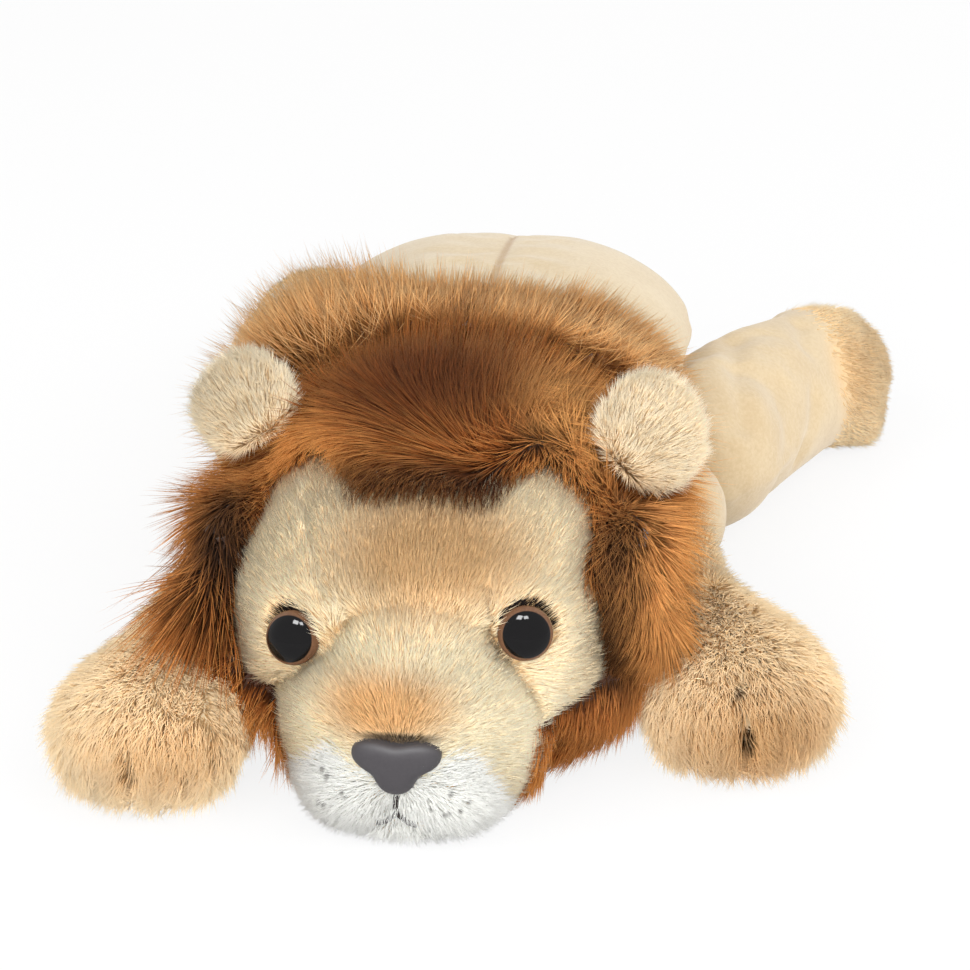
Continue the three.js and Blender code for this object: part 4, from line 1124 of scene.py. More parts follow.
@dataclass
class Head:
    """The head: a pale face, a muzzle with white cheeks, and the back of the head under the mane."""

    nodes: tuple[str, ...] = ("face_panel", "head_back_panel", "head_filling", "muzzle_panel",
                              "muzzle_white_left", "muzzle_white_right", "chin_panel")
    face: Pile = field(default_factory=lambda: Pile(
        strands=5.8, length=4.0, radius=0.155, steps=1, lean=0.85, unrest=0.28, clumps=0.14, pull=0.22, seed=11))
    muzzle: Pile = field(default_factory=lambda: Pile(
        strands=7.4, length=3.6, radius=0.145, steps=1, lean=0.82, unrest=0.28, clumps=0.14, pull=0.22, seed=12))
    white: Pile = field(default_factory=lambda: Pile(
        strands=9.0, length=4.2, radius=0.14, steps=1, lean=0.66, unrest=0.4, clumps=0.14, pull=0.28, seed=13))
    lash: Pile = field(default_factory=lambda: Pile(
        strands=10.0, length=1.9, radius=0.13, steps=1, lean=0.8, unrest=0.2, clumps=0.1, pull=0.1, seed=14))
    white_top: tuple[tuple[float, float], ...] = (
        (-29, 2), (-27, 14), (-16, 25), (-8, 20), (8, 22), (12, 24.5), (17, 24), (20, 20), (22.6, 16), (24, 9),
        (25.5, 0))
    muzzle_top: Line = (
        (-15.4, 18.5, 51.1), (-8.6, 18.7, 54.3), (-1.6, 18.8, 55.5), (5.9, 18.9, 55.4), (13.3, 19.1, 53.6),
        (20.7, 19.8, 48.7))
    muzzle_sides: tuple[Line, ...] = (
        ((-36.9, 29.3, 25.8), (-28.4, 20.6, 36), (-21.3, 18, 42.6), (-15.4, 18.5, 51.1)),
        ((20.7, 19.8, 48.7), (23.2, 20.2, 45.3), (28.6, 21, 37.5), (32.4, 23.3, 29.5)))
    eye_room: float = 7.5
    eye_line: tuple[float, float, float, float] = (6.6, 7.0, 7.8, 8.2)
    mouth: tuple[Line, ...] = (
        ((0, -1, 16), (0, 0, 9)), ((-6, 0.5, 6), (0, 0, 9), (6, 0.5, 6)))
    darts: tuple[Line, ...] = (
        ((-31, 52, 70), (-26, 32, 64), (-20, 22, 55)), ((19, 24, 60), (20, 21, 52)))

    def build(self, skin: VelourFinish, face: PileFinish, muzzle: PileFinish, white: PileFinish,
              lash: PileFinish, tree: PileTree) -> bpy.types.Object:
        """Make the head's cover, its three kinds of short pile and the dark lines over the eyes.

        Args:
            skin: The cloth under the pile.
            face: Pile of the face.
            muzzle: Pile of the muzzle.
            white: Pile of the cheeks and chin.
            lash: Dark pile over the eyes.
            tree: Grows the pile.

        Returns:
            The cover.
        """
        cover = stuffed_cover("head_cover", self.nodes, voxel=2.4, smoothing=18, swell=0.5)
        sculpt(cover.data, self.grooves(), self.swells())
        points = from_chin(places_of(cover.data))
        covered = ease(mane_edge(points), -2, 2)
        cover.data.attributes.new("covered", "FLOAT", "POINT").data.foreach_set("value", covered.astype(np.float32))
        dress(cover, "head", skin.material(), self.nodes)

        bounds = np.array(self.white_top)
        top = np.interp(points[:, 0], bounds[:, 0], bounds[:, 1])
        white_share = closeness(cover.data, self.nodes[4:], 5.0) * ease(top - points[:, 2], -0.8, 0.8)
        muzzle_share = closeness(cover.data, self.nodes[3:], 2.5) * (1 - white_share)
        face_share = (1 - covered) * (1 - white_share) * (1 - muzzle_share)
        clear = np.ones(len(points))
        for side in Side:
            far = np.linalg.norm(points - from_chin(np.array([Eye(side).seat()])), axis=1)
            clear *= ease(far, self.eye_room, self.eye_room + 1.2)
        for line in self.mouth:
            clear *= ease(line_distance(points, line), 0.6, 1.8)
        for line in self.darts:
            clear *= 0.35 + 0.65 * ease(line_distance(points, line), 0.3, 1.6)
        below = ease(points[:, 2], 0.6, 3.0)
        for name, pile, share, finish, flow in (
            ("face_pile", self.face, face_share, face, flow_from(0, -45, 28)),
            ("muzzle_pile", self.muzzle, muzzle_share, muzzle, flow_from(0, -14, 25)),
            ("white_pile", self.white, white_share, white, flow_from(0, -4, 17)),
        ):
            grown = tree.grow(name, cover, pile, flow, share * clear * below, finish.material())
            dress(grown, "head")
        start, full, thin, end = self.eye_line
        for side in Side:
            out = points - from_chin(np.array([Eye(side).seat()]))
            far = np.linalg.norm(out, axis=1)
            ring = ease(far, start, full) * ease(far, end, thin)
            outward = out[:, 0] * side.sign
            over = np.maximum(ease(out[:, 2], 1.5, 4.5), ease(outward, 3.0, 6.0) * ease(out[:, 2], -3.0, 0.0) * 0.6)
            grown = tree.grow(f"eye_line_{side.value}", cover, self.lash, flow_from(0, -40, 20), ring * over,
                              lash.material())
            dress(grown, "head")
        return cover

    def grooves(self) -> list[Groove]:
        """The darts of the brow, the edge of the muzzle and the split of the cheeks."""
        return [
            *(Groove(line, 1.8, 1.7) for line in self.darts),
            Groove(self.muzzle_top, 1.1, 2.8),
            *(Groove(line, 2.4, 2.8) for line in self.muzzle_sides),
            Groove(((0, -2, 16), (0, -3, 9), (0, 0, 3)), 1.8, 1.5),
        ]

    def swells(self) -> list[Swell]:
        """The brows, the cheeks and the hollows of the eyes."""
        return [
            Swell((-29, 24, 45), 9, -1.6), Swell((29, 24, 49), 9, -1.6),
            Swell((-26, 25, 58), 12, 1.4), Swell((27, 25, 61), 12, 1.4),
            Swell((0, 14, 46), 15, 1.6), Swell((-21, 14, 30), 12, 1.6), Swell((21, 14, 30), 12, 1.6),
            Swell((-14, 3, 14), 10, 1.2), Swell((14, 3, 14), 10, 1.2),
            Swell((44, 36, 40), 14, -1.8), Swell((-44, 36, 40), 14, -1.2),
        ]


@dataclass
class Mane:
    """The mane: a crown and two flaps on the head, and a collar on the neck."""

    head_nodes: tuple[str, ...] = ("mane_crown", "mane_flap_left", "mane_flap_right")
    inner_nodes: tuple[str, ...] = ("face_panel", "head_back_panel", "head_filling")
    collar_nodes: tuple[str, ...] = ("mane_collar",)
    inner_collar: tuple[str, ...] = ("back_panel_left", "back_panel_right", "belly_panel", "body_filling",
                                     "pellet_bag")
    crown: Pile = field(default_factory=lambda: Pile(
        strands=3.0, length=14, radius=0.2, steps=2, spread=0.25, unrest=0.22, lean=0.82, droop=0.25, clumps=0.05,
        pull=0.2, seed=21))
    flap: Pile = field(default_factory=lambda: Pile(
        strands=2.3, length=16, radius=0.21, steps=2, spread=0.25, unrest=0.2, lean=0.9, droop=0.12, clumps=0.045,
        pull=0.2, seed=22))
    collar: Pile = field(default_factory=lambda: Pile(
        strands=2.15, length=12, radius=0.22, steps=2, spread=0.25, unrest=0.22, lean=0.88, droop=0.25, clumps=0.05,
        pull=0.2, seed=23))
    inset: float = 7.0

    def head_swells(self) -> list[Swell]:
        """Room that the flaps take up at the cheeks and over the arms."""
        return [
            Swell((56, 56, 48), 28, 11.0), Swell((-56, 58, 42), 30, 11.0), Swell((-49, 36, 33), 18, 12.0),
            Swell((48, 44, 20), 18, 4.0),
        ]

    def collar_swells(self) -> list[Swell]:
        """The fuller side of the collar, on the lion's right."""
        return [Swell((-44, 142, 70), 38, 11.5)]

    def build_head(self, skin: VelourFinish, finish: PileFinish, tree: PileTree, head: bpy.types.Object) -> None:
        """Make the backing cloth and the long pile of the crown and the flaps.

        Args:
            skin: The backing cloth.
            finish: The pile.
            tree: Grows the pile.
            head: The head's cover.
        """
        backing = stuffed_cover("mane_backing", self.inner_nodes + self.head_nodes, voxel=3.8, smoothing=11,
                                inset=self.inset, inset_nodes=self.head_nodes)
        behind = mane_edge(from_chin(places_of(backing.data)))
        reached = self.inset + PILE_MARGIN
        near = closeness(backing.data, self.head_nodes, reached) * ease(behind, -3, 3)
        crown = closeness(backing.data, self.head_nodes[:1], reached) * ease(behind, -3, 3)
        fit_backing(backing, head, near)
        sculpt(backing.data, (), self.head_swells(), near)
        dress(backing, "head", skin.material(), self.head_nodes)
        points, normals = from_chin(places_of(backing.data)), normals_of(backing.data)
        hidden = ease(points[:, 1], 126, 121)
        reach = (0.5 + 0.5 * ease(behind, 1, 15)) * (1 + 0.4 * ease(points[:, 1], 96, 114))
        lift = 1 + 0.45 * ease(points[:, 1], 96, 112)
        front = ease(-normals[:, 1], 0.2, 0.55)
        over_arm = ease(-points[:, 0], 44, 52) * ease(points[:, 2], 62, 50) * ease(points[:, 2], 24, 32) * front
        long_flap = np.maximum(reach, over_arm) * (
            1 + 1.1 * over_arm - 0.45 * ease(points[:, 0], 20, 30) * ease(points[:, 2], 30, 18)
            - 0.15 * ease(-points[:, 0], 20, 30) * ease(points[:, 2], 30, 18))
        strands = finish.material()
        for side in Side:
            half = points[:, 0] * side.sign > 0
            grown = tree.grow(f"crown_pile_{side.value}", backing, self.crown, crown_flow, crown * hidden * half,
                              strands, reach, lift)
            dress(grown, "head")
            inner = (normals[:, 0] * side.sign < -0.2) & (np.abs(points[:, 0]) < 45)
            share = near * (1 - crown) * half * hidden * ~inner
            if side is Side.RIGHT:
                share = share * (1 - ease(points[:, 2], 19, 12) * ease(points[:, 1], 44, 36))
            grown = tree.grow(f"flap_pile_{side.value}", backing, self.flap, flap_flow, share, strands, long_flap,
                              1 + 2.0 * over_arm)
            dress(grown, "head")

    def build_collar(self, skin: VelourFinish, finish: PileFinish, tree: PileTree, body: bpy.types.Object) -> None:
        """Make the backing cloth and the long pile of the collar.

        Args:
            skin: The backing cloth.
            finish: The pile.
            tree: Grows the pile.
            body: The body's cover.
        """
        band = stuffed_cover("collar_backing", self.inner_collar + self.collar_nodes, voxel=4.2, smoothing=9,
                             inset=self.inset - 1, inset_nodes=self.collar_nodes)
        share = closeness(band.data, self.collar_nodes, self.inset + PILE_MARGIN)
        fit_backing(band, body, share)
        sculpt(band.data, (), self.collar_swells(), share)
        dress(band, "torso", skin.material(), self.collar_nodes)
        points = from_chin(places_of(band.data))
        strands = finish.material()
        share *= ease(points[:, 1], 115, 120) * (1 - 0.3 * ease(-points[:, 0], 0, 20))
        right = ease(-points[:, 0], 8, 40) * ease(points[:, 2], 40, 60)
        reach, lift = 1 + 0.3 * right, 1 + 0.5 * right
        for side in Side:
            grown = tree.grow(f"collar_pile_{side.value}", band, self.collar, collar_flow,
                              share * (points[:, 0] * side.sign > 0), strands, reach, lift)
            dress(grown, "torso")


def crown_flow(points: np.ndarray) -> np.ndarray:
    """Forward over the brow in front, then round by the lion's right to the back; later on its left side.

    Args:
        points: Places in millimetres from the chin.

    Returns:
        The directions.
    """
    start = 58 - 0.8 * points[:, 0]
    turn = -math.pi / 2 - math.pi * ease(points[:, 1] - start, -18, 26) * ease(mane_edge(points), 5, 14)
    return np.stack([np.cos(turn) + points[:, 0] * 0.006, np.sin(turn), -0.5 * ease(points[:, 1], 60, 45)], axis=1)


def flap_flow(points: np.ndarray) -> np.ndarray:
    """Down the side of the face and outward; over the arm on the lion's right, and over the cheek at the edge.

    Args:
        points: Places in millimetres from the chin.

    Returns:
        The directions.
    """
    side = np.sign(points[:, 0])
    low = ease(points[:, 2], 45, 15)
    over = ease(points[:, 2], 52, 36) * (side < 0) * ease(points[:, 1], 75, 60)
    under = low * (side > 0)
    edge = ease(mane_edge(points), 6, 0) * ease(points[:, 2], 30, 40)
    edge *= 1 - ease(-points[:, 0], 46, 52) * ease(points[:, 2], 60, 50)
    across = side * (0.22 - 0.7 * edge - 0.6 * under)
    return np.stack([across, -0.3 - 0.3 * low - 0.4 * edge - 0.3 * over, -1.0 + 0.2 * low + 0.2 * over], axis=1)


def collar_flow(points: np.ndarray) -> np.ndarray:
    """Back over the body and outward."""
    rise = 0.55 * ease(points[:, 2], 55, 82) - 0.3
    return np.stack([points[:, 0] * 0.012, 0.9 * np.ones(len(points)), rise], axis=1)


@dataclass
class Ear:
    """One ear: a front and a back piece of cloth, sewn round the edge.

    Attributes:
        side: Which side it is on.
        lower_share: How much of its height is left where it is pressed flat.
        corners: Where its outline goes out or in: degrees from the lion's left, and the share.
        pile: Its pile.
    """

    side: Side
    lower_share: float = 1.0
    corners: tuple[tuple[float, float], ...] = ()
    pile: Pile = field(default_factory=lambda: Pile(
        strands=7.0, length=4.4, radius=0.15, steps=1, lean=0.78, unrest=0.4, clumps=0.12, pull=0.35, seed=31))

    def build(self, skin: VelourFinish, finish: PileFinish, tree: PileTree) -> None:
        """Make the ear and its pile.

        Args:
            skin: The cloth under the pile.
            finish: The pile.
            tree: Grows the pile.
        """
        sign, name = self.side.sign, self.side.value
        nodes = (f"ear_front_{name}", f"ear_back_{name}")
        cover = stuffed_cover(f"ear_{name}", nodes, voxel=1.6, smoothing=8, swell=0.3)
        sculpt(cover.data, (), [Swell((sign * 52, 80, 78), 10, -1.5)])
        if self.lower_share < 1:
            placed = places_of(cover.data)
            top = float(np.max(placed[:, 2])) - 4 * MM
            placed[:, 2] = np.where(placed[:, 2] < top, top + (placed[:, 2] - top) * self.lower_share, placed[:, 2])
            move_to(cover.data, placed)
        self._reshape(cover.data)
        dress(cover, "head", skin.material(), nodes)
        flow = flow_from(sign * 44, 84, 66)
        grown = tree.grow(f"ear_pile_{name}", cover, self.pile, flow, np.ones(len(cover.data.vertices)),
                          finish.material())
        dress(grown, "head")

    def _reshape(self, mesh: bpy.types.Mesh) -> None:
        """Move the outline out or in at each corner.

        Args:
            mesh: The ear's mesh.
        """
        placed = places_of(mesh)
        middle = (placed.min(axis=0) + placed.max(axis=0)) / 2
        out = placed - middle
        angle = np.arctan2(out[:, 2], out[:, 0])
        share = np.ones(len(placed))
        for degrees, change in self.corners:
            share += change * np.maximum(np.cos(angle - math.radians(degrees)), 0) ** 4
        out[:, 0] *= share
        out[:, 2] *= share
        move_to(mesh, middle + out)


@dataclass
class Leg:
    """One leg: its upper part in short pile, its paw in longer pile, with four toes.

    Attributes:
        name: The leg's name.
        paw: Middle of the paw, in millimetres from the chin.
        heading: Which way the toes point, in degrees from the lion's left towards its tail.
        half_width: Half the paw's width.
        height: Height of the paw.
        cuff: How far behind the middle the long pile starts.
        toe_fan: Degrees between the splits of the toes.
        pile: Pile of a front paw.
        foot_pile: Pile of a hind foot.
        folds: Lines where the cloth folds in.
        parting: How bare the split between the middle toes is.
        pressed: Middle and radius of the area where the mane lies on the pile.
    """

    name: str
    paw: tuple[float, float]
    heading: float
    half_width: float = 26.0
    height: float = 30.0
    cuff: float = 58.0
    toe_fan: float = 34.0
    pile: Pile = field(default_factory=lambda: Pile(
        strands=4.3, length=6.0, radius=0.2, steps=1, lean=0.76, unrest=0.38, clumps=0.06, pull=0.4, seed=41))
    foot_pile: Pile = field(default_factory=lambda: Pile(
        strands=5.0, length=3.2, radius=0.15, steps=1, lean=0.82, unrest=0.3, clumps=0.1, pull=0.3, seed=42))
    folds: tuple[Line, ...] = ()
    parting: float = 1.0
    pressed: tuple[Place, float] = ((0, 0, 0), 1.0)

    def splits(self) -> list[Groove]:
        """The splits between the toes, of which the middle one is the deepest.

        Returns:
            One groove a split.
        """
        lines = []
        middle = np.array((*self.paw, 0.0))
        for turn in (-self.toe_fan, 0.0, self.toe_fan):
            angle = math.radians(self.heading + turn)
            out = np.array((math.cos(angle), math.sin(angle), 0.0)) * self.half_width
            corners = [middle + out * share + np.array((0, 0, self.height * rise))
                       for share, rise in ((0.6, 0.85), (0.86, 0.66), (1.02, 0.35), (1.02, 0.0))]
            deep = 2.0 if turn or not self.long_pile() else 4.0
            lines.append(Groove(tuple(tuple(corner) for corner in corners), deep, 2.0))
        return lines

    def long_pile(self) -> bool:
        """Whether the paw has long pile, as the front paws have."""
        return self.name.startswith("front")

    def build(self, cloth: VelourFinish, paw: PileFinish, foot: PileFinish, tree: PileTree) -> None:
        """Make the leg's cover, with long pile on a front leg and short pile on a hind foot.

        Args:
            cloth: The cloth of the leg.
            paw: The front paw's pile.
            foot: The hind foot's pile.
            tree: Grows the pile.
        """
        nodes = (f"leg_cover_{self.name}", f"paw_cover_{self.name}", f"leg_filling_{self.name}")
        front = self.long_pile()
        filling = None if front else Filling(slack=0.06, cap=1.6)
        cover = stuffed_cover(f"leg_{self.name}", nodes, voxel=2.4, smoothing=16 if front else 30, swell=0.4,
                              filling=filling)
        splits = self.splits()
        sculpt(cover.data, [*(splits if front else ()), *(Groove(fold, 2.0, 4.0) for fold in self.folds)])
        body = f"leg_{self.name}"
        dress(cover, body, cloth.material(), nodes)
        points = from_chin(places_of(cover.data))
        angle = math.radians(self.heading)
        turned_to = np.array((math.cos(angle), math.sin(angle)))
        ahead = (points[:, :2] - np.array(self.paw)) @ turned_to
        low = ease(points[:, 2], 0.8, 3.0)
        back = np.array(self.paw) - turned_to * 34.0
        flow = flow_from(back[0], back[1], 34)
        if not front:
            grown = tree.grow(f"foot_pile_{self.name}", cover, self.foot_pile, flow, ease(ahead, -8, 14) * low,
                              foot.material())
            dress(grown, body)
            return
        share = ease(ahead, -self.cuff - 12, -self.cuff) * low
        clear = 1 - self.parting * ease(line_distance(points, splits[1].points), 2.2, 0.8)
        middle, radius = self.pressed
        free = ease(np.linalg.norm(points - np.array(middle), axis=1), radius * 0.5, radius)
        longer = (0.7 + 0.5 * ease(ahead, -10, 20)) * (0.4 + 0.6 * free)
        grown = tree.grow(f"paw_pile_{self.name}", cover, self.pile, flow, share * clear, paw.material(), longer)
        dress(grown, body)


@dataclass
class Tail:
    """The tail: a thin stuffed tube that ends in a tuft of long pile."""

    nodes: tuple[str, ...] = ("tail_cover", "tail_filling")
    tuft: Pile = field(default_factory=lambda: Pile(
        strands=2.6, length=14, radius=0.25, steps=2, lean=0.85, droop=0.3, clumps=0.05, pull=0.35, seed=51))

    def build(self, skin: VelourFinish, backing: VelourFinish, finish: PileFinish, tree: PileTree) -> None:
        """Make the tail, the tuft's core and its pile.

        Args:
            skin: The tail's cloth.
            backing: The cloth under the tuft.
            finish: The tuft's pile.
            tree: Grows the pile.
        """
        cover = stuffed_cover("tail", self.nodes, voxel=1.8, smoothing=10, swell=0.4)
        dress(cover, "tail", skin.material(), self.nodes)
        core = stuffed_cover("tuft_core", ("tail_tuft",), voxel=1.8, smoothing=6, swell=-3.5)
        dress(core, "tail", backing.material(), ("tail_tuft",))
        low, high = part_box("tail_tuft")
        start = from_chin(np.array([(high.x, high.y, 0.0)]))[0]
        points = from_chin(places_of(core.data))
        middle = (points[:, 1].min() + points[:, 1].max()) / 2
        by_foot = ease(points[:, 1], middle + 3, middle - 4)
        reach = (1 - 0.6 * by_foot) * (0.4 + 0.6 * ease(start[0] - points[:, 0], 3, 14))
        grown = tree.grow("tuft_pile", core, self.tuft, flow_from(start[0] + 6, start[1] - 4, 8),
                          np.ones(len(points)), finish.material(), reach)
        dress(grown, "tail")


@dataclass
class Eye:
    """One moulded eye: a black dome with a brown ring near its rim, on a shank through the cloth."""

    side: Side
    radius: float = 7.0
    ring: tuple[float, float] = (5.85, 6.1)
    rim: float = 1.4
    dome: float = 4.6
    sink: float = 0.5
    shank_radius: float = 2.4
    shank: float = 9.0
    out_degrees: float = 22.0
    up_degrees: float = 14.0
    look_out: float = 14.0
    look_up: float = 18.0
    washer_depth: float = 5.0
    sides: int = 64
    steps: int = 20

    def direction(self, out_degrees: float, up_degrees: float) -> Vector:
        """A direction on the eye's side of straight ahead.

        Args:
            out_degrees: How far it turns outward.
            up_degrees: How far it turns up.

        Returns:
            The direction.
        """
        out, lift = math.radians(out_degrees), math.radians(up_degrees)
        return Vector((self.side.sign * math.sin(out) * math.cos(lift), -math.cos(out) * math.cos(lift),
                       math.sin(lift)))

    def axis(self) -> Vector:
        """The direction that the eye looks in."""
        return self.direction(self.look_out, self.look_up)

    def seat(self) -> Vector:
        """Where the eye's shank meets the face, in metres."""
        low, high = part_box(f"eye_washer_{self.side.value}")
        return (low + high) / 2 + self.direction(self.out_degrees, self.up_degrees) * self.washer_depth * MM

    def profile(self) -> list[tuple[float, float]]:
        """The turned outline, from the shank's end to the top of the dome.

        Returns:
            Radius and height of each corner.
        """
        edge = 0.5
        points = [(0.0, -self.shank), (self.shank_radius, -self.shank), (self.shank_radius, -self.sink),
                  (self.radius - edge, -self.sink), (self.radius, -self.sink + edge)]
        for step in range(self.steps):
            turn = step / self.steps * math.pi / 2
            points.append((self.radius * math.cos(turn), self.rim - self.sink + self.dome * math.sin(turn)))
        points.append((0.0, self.rim - self.sink + self.dome))
        return points

    def build(self) -> None:
        """Make the eye."""
        name = f"eye_{self.side.value}"
        mesh = turned_mesh(name, self.profile(), self.sides, self.seat(), self.axis())
        piece = new_piece(f"{name}_dome", mesh)
        piece.data.shade_smooth()
        dress(piece, "head", self.material(), (name,))

    def material(self) -> bpy.types.Material:
        """Glossy black with a brown ring, by distance from the eye's axis.

        Returns:
            The new material.
        """
        made, bench, shader = new_material(f"eye_{self.side.value}")
        moved = bench.value("ShaderNodeVectorMath", 0, {"operation": "SUBTRACT"},
                            {0: bench.place(), 1: tuple(self.seat())})
        axis = tuple(self.axis())
        height = bench.value("ShaderNodeVectorMath", "Value", {"operation": "DOT_PRODUCT"}, {0: moved, 1: axis})
        far = bench.value("ShaderNodeVectorMath", "Value", {"operation": "LENGTH"}, {0: moved})
        radial = (far * far - height * height) ** 0.5
        ring = bench.between(radial, self.ring[0] * MM, self.ring[1] * MM)
        grain = bench.noise(0.0006, 3.0)
        brown = bench.mix(grain, paint(80, 54, 40), paint(126, 92, 68))
        colour = bench.mix(ring, paint(12, 11, 12), brown)
        finish_shader(bench, shader, colour, roughness=0.05 + grain * 0.03, gloss=0.18)
        return made


def turned_mesh(name: str, profile: Sequence[tuple[float, float]], sides: int, seat: Vector,
                axis: Vector) -> bpy.types.Mesh:
    """Turn an outline round an axis.

    Args:
        name: The mesh's name.
        profile: Radius and height of each corner, in millimetres; it starts and ends on the axis.
        sides: Faces round the axis.
        seat: Where height zero lies, in metres.
        axis: The axis, towards growing height.

    Returns:
        The closed mesh.
    """
    shape = bmesh.new()
    turn = axis.to_track_quat("Z", "Y")
    rings: list[list[bmesh.types.BMVert]] = []
    for radius, height in profile:
        count = sides if radius > 0 else 1
        rings.append([shape.verts.new(seat + turn @ Vector((
            radius * math.cos(math.tau * i / sides), radius * math.sin(math.tau * i / sides), height)) * MM)
            for i in range(count)])
    for low, high in zip(rings[:-1], rings[1:]):
        for i in range(sides):
            corners = [low[i % len(low)], low[(i + 1) % len(low)], high[(i + 1) % len(high)], high[i % len(high)]]
            shape.faces.new(list(dict.fromkeys(corners)))
    bmesh.ops.recalc_face_normals(shape, faces=shape.faces)
    return mesh_of(shape, name)


@dataclass
class Nose:
    """The moulded nose, bent round the front of the muzzle.

    Attributes:
        width: Its width.
        height: Its height.
        top: Height of its upper edge above the floor.
        depth: How far it stands out of the cloth.
        back: How far its rim reaches into the cloth.
        muzzle: Middle of the muzzle.
        muzzle_size: Half sizes of the muzzle.
        rings: Rows of faces from the rim to the tip.
    """

    width: float = 23.0
    height: float = 13.0
    top: float = 28.5
    depth: float = 4.2
    back: float = 3.0
    muzzle: Place = (0.0, 31.0, 21.0)
    muzzle_size: Place = (34.5, 31.0, 31.0)
    rings: int = 9

    def outline(self) -> list[tuple[float, float]]:
        """The nose's outline seen from the front.

        Returns:
            Width and height of each corner, in millimetres.
        """
        half = [(0.0, -0.02), (0.28, 0.05), (0.6, 0.05), (0.88, -0.02), (1.0, -0.17), (0.97, -0.32),
                (0.84, -0.44), (0.64, -0.52), (0.5, -0.6), (0.43, -0.74), (0.33, -0.9), (0.16, -0.99), (0.0, -1.01)]
        shares = half + [(-x, z) for x, z in reversed(half[1:-1])]
        return [(x * self.width / 2, z * self.height) for x, z in shares]

    def front(self, x: float, z: float) -> float:
        """How far back the muzzle's surface lies at a width and height."""
        across, upward = x / self.muzzle_size[0], (z - self.muzzle[2]) / self.muzzle_size[2]
        return self.muzzle[1] - self.muzzle_size[1] * math.sqrt(max(0.0, 1 - across ** 2 - upward ** 2))

    def build(self, finish: MouldedFinish) -> None:
        """Make the nose.

        Args:
            finish: Its plastic.
        """
        outline = self.outline()
        middle = (0.0, -self.height * 0.42)
        shape = bmesh.new()
        rows = []
        profile = [(1.0, -self.back), (1.0, self.depth * 0.35)]
        for ring in range(1, self.rings + 1):
            turn = ring / self.rings * math.pi / 2
            profile.append((math.cos(turn) ** 0.4, self.depth * (0.35 + 0.65 * math.sin(turn) ** 0.8)))
        for share, height in profile[:-1]:
            row = []
            for x, z in outline:
                across = middle[0] + (x - middle[0]) * share
                upward = self.top + middle[1] + (z - middle[1]) * share
                row.append(shape.verts.new(at(across, self.front(across, upward) - height, upward)))
            rows.append(row)
        for low, high in zip(rows[:-1], rows[1:]):
            for i in range(len(outline)):
                j = (i + 1) % len(outline)
                shape.faces.new((low[i], low[j], high[j], high[i]))
        peak = self.top + middle[1]
        for row, depth in ((rows[0], -self.back), (rows[-1], self.depth)):
            tip = shape.verts.new(at(middle[0], self.front(middle[0], peak) - depth, peak))
            for i in range(len(outline)):
                shape.faces.new((row[i], row[(i + 1) % len(outline)], tip))
        bmesh.ops.recalc_face_normals(shape, faces=shape.faces)
        piece = new_piece("nose_moulding", mesh_of(shape, "nose_moulding"))
        add_subdivision(piece)
        apply_modifiers(piece)
        piece.data.shade_smooth()
        dress(piece, "head", finish.material(), ("nose",))


@dataclass
class Mouth:
    """The mouth: dark thread laid over the cloth in an upright and two short sides.

    Attributes:
        lines: Each thread's corners as width and height, in millimetres.
        radius: The thread's radius.
        proud: How far it lies in front of the cloth.
    """

    lines: tuple[tuple[tuple[float, float], ...], ...] = (
        ((0, 14.0), (-0.3, 11.5), (0, 9)), ((-5, 6), (-2.8, 6.8), (0, 9), (2.8, 6.8), (5, 6)))
    radius: float = 0.75
    proud: float = 0.9

    def build(self, cover: bpy.types.Object, finish: MouldedFinish) -> None:
        """Lay the thread on the head's cover.

        Args:
            cover: The head's cover.
            finish: The thread's finish.
        """
        tree = tree_of(cover.data)
        path = bpy.data.curves.new("mouth_line", "CURVE")
        path.dimensions = "3D"
        path.bevel_depth = self.radius * MM
        path.bevel_resolution = 3
        path.use_fill_caps = True
        for line in self.lines:
            spline = path.splines.new("POLY")
            dense = self._dense(line)
            spline.points.add(len(dense) - 1)
            for point, (x, z) in zip(spline.points, dense):
                met = tree.ray_cast(at(x, -60, z), Vector((0, 1, 0)))[0]
                point.co = (met.x, met.y - self.proud * MM, met.z, 1.0)
        laid = new_piece("mouth_line", path)
        piece = new_piece("mouth_embroidery", evaluated_mesh(laid))
        bpy.data.objects.remove(laid)
        piece.data.shade_smooth()
        dress(piece, "head", finish.material(), ("mouth_thread",))

    @staticmethod
    def _dense(line: Sequence[tuple[float, float]], steps: int = 5) -> list[tuple[float, float]]:
        """Add points between a line's corners.

        Args:
            line: The corners.
            steps: Points from one corner to the next.

        Returns:
            All the points.
        """
        rows = np.array(line, dtype=float)
        spots = np.linspace(0, len(rows) - 1, (len(rows) - 1) * steps + 1)
        return [(float(np.interp(spot, range(len(rows)), rows[:, 0])),
                 float(np.interp(spot, range(len(rows)), rows[:, 1]))) for spot in spots]


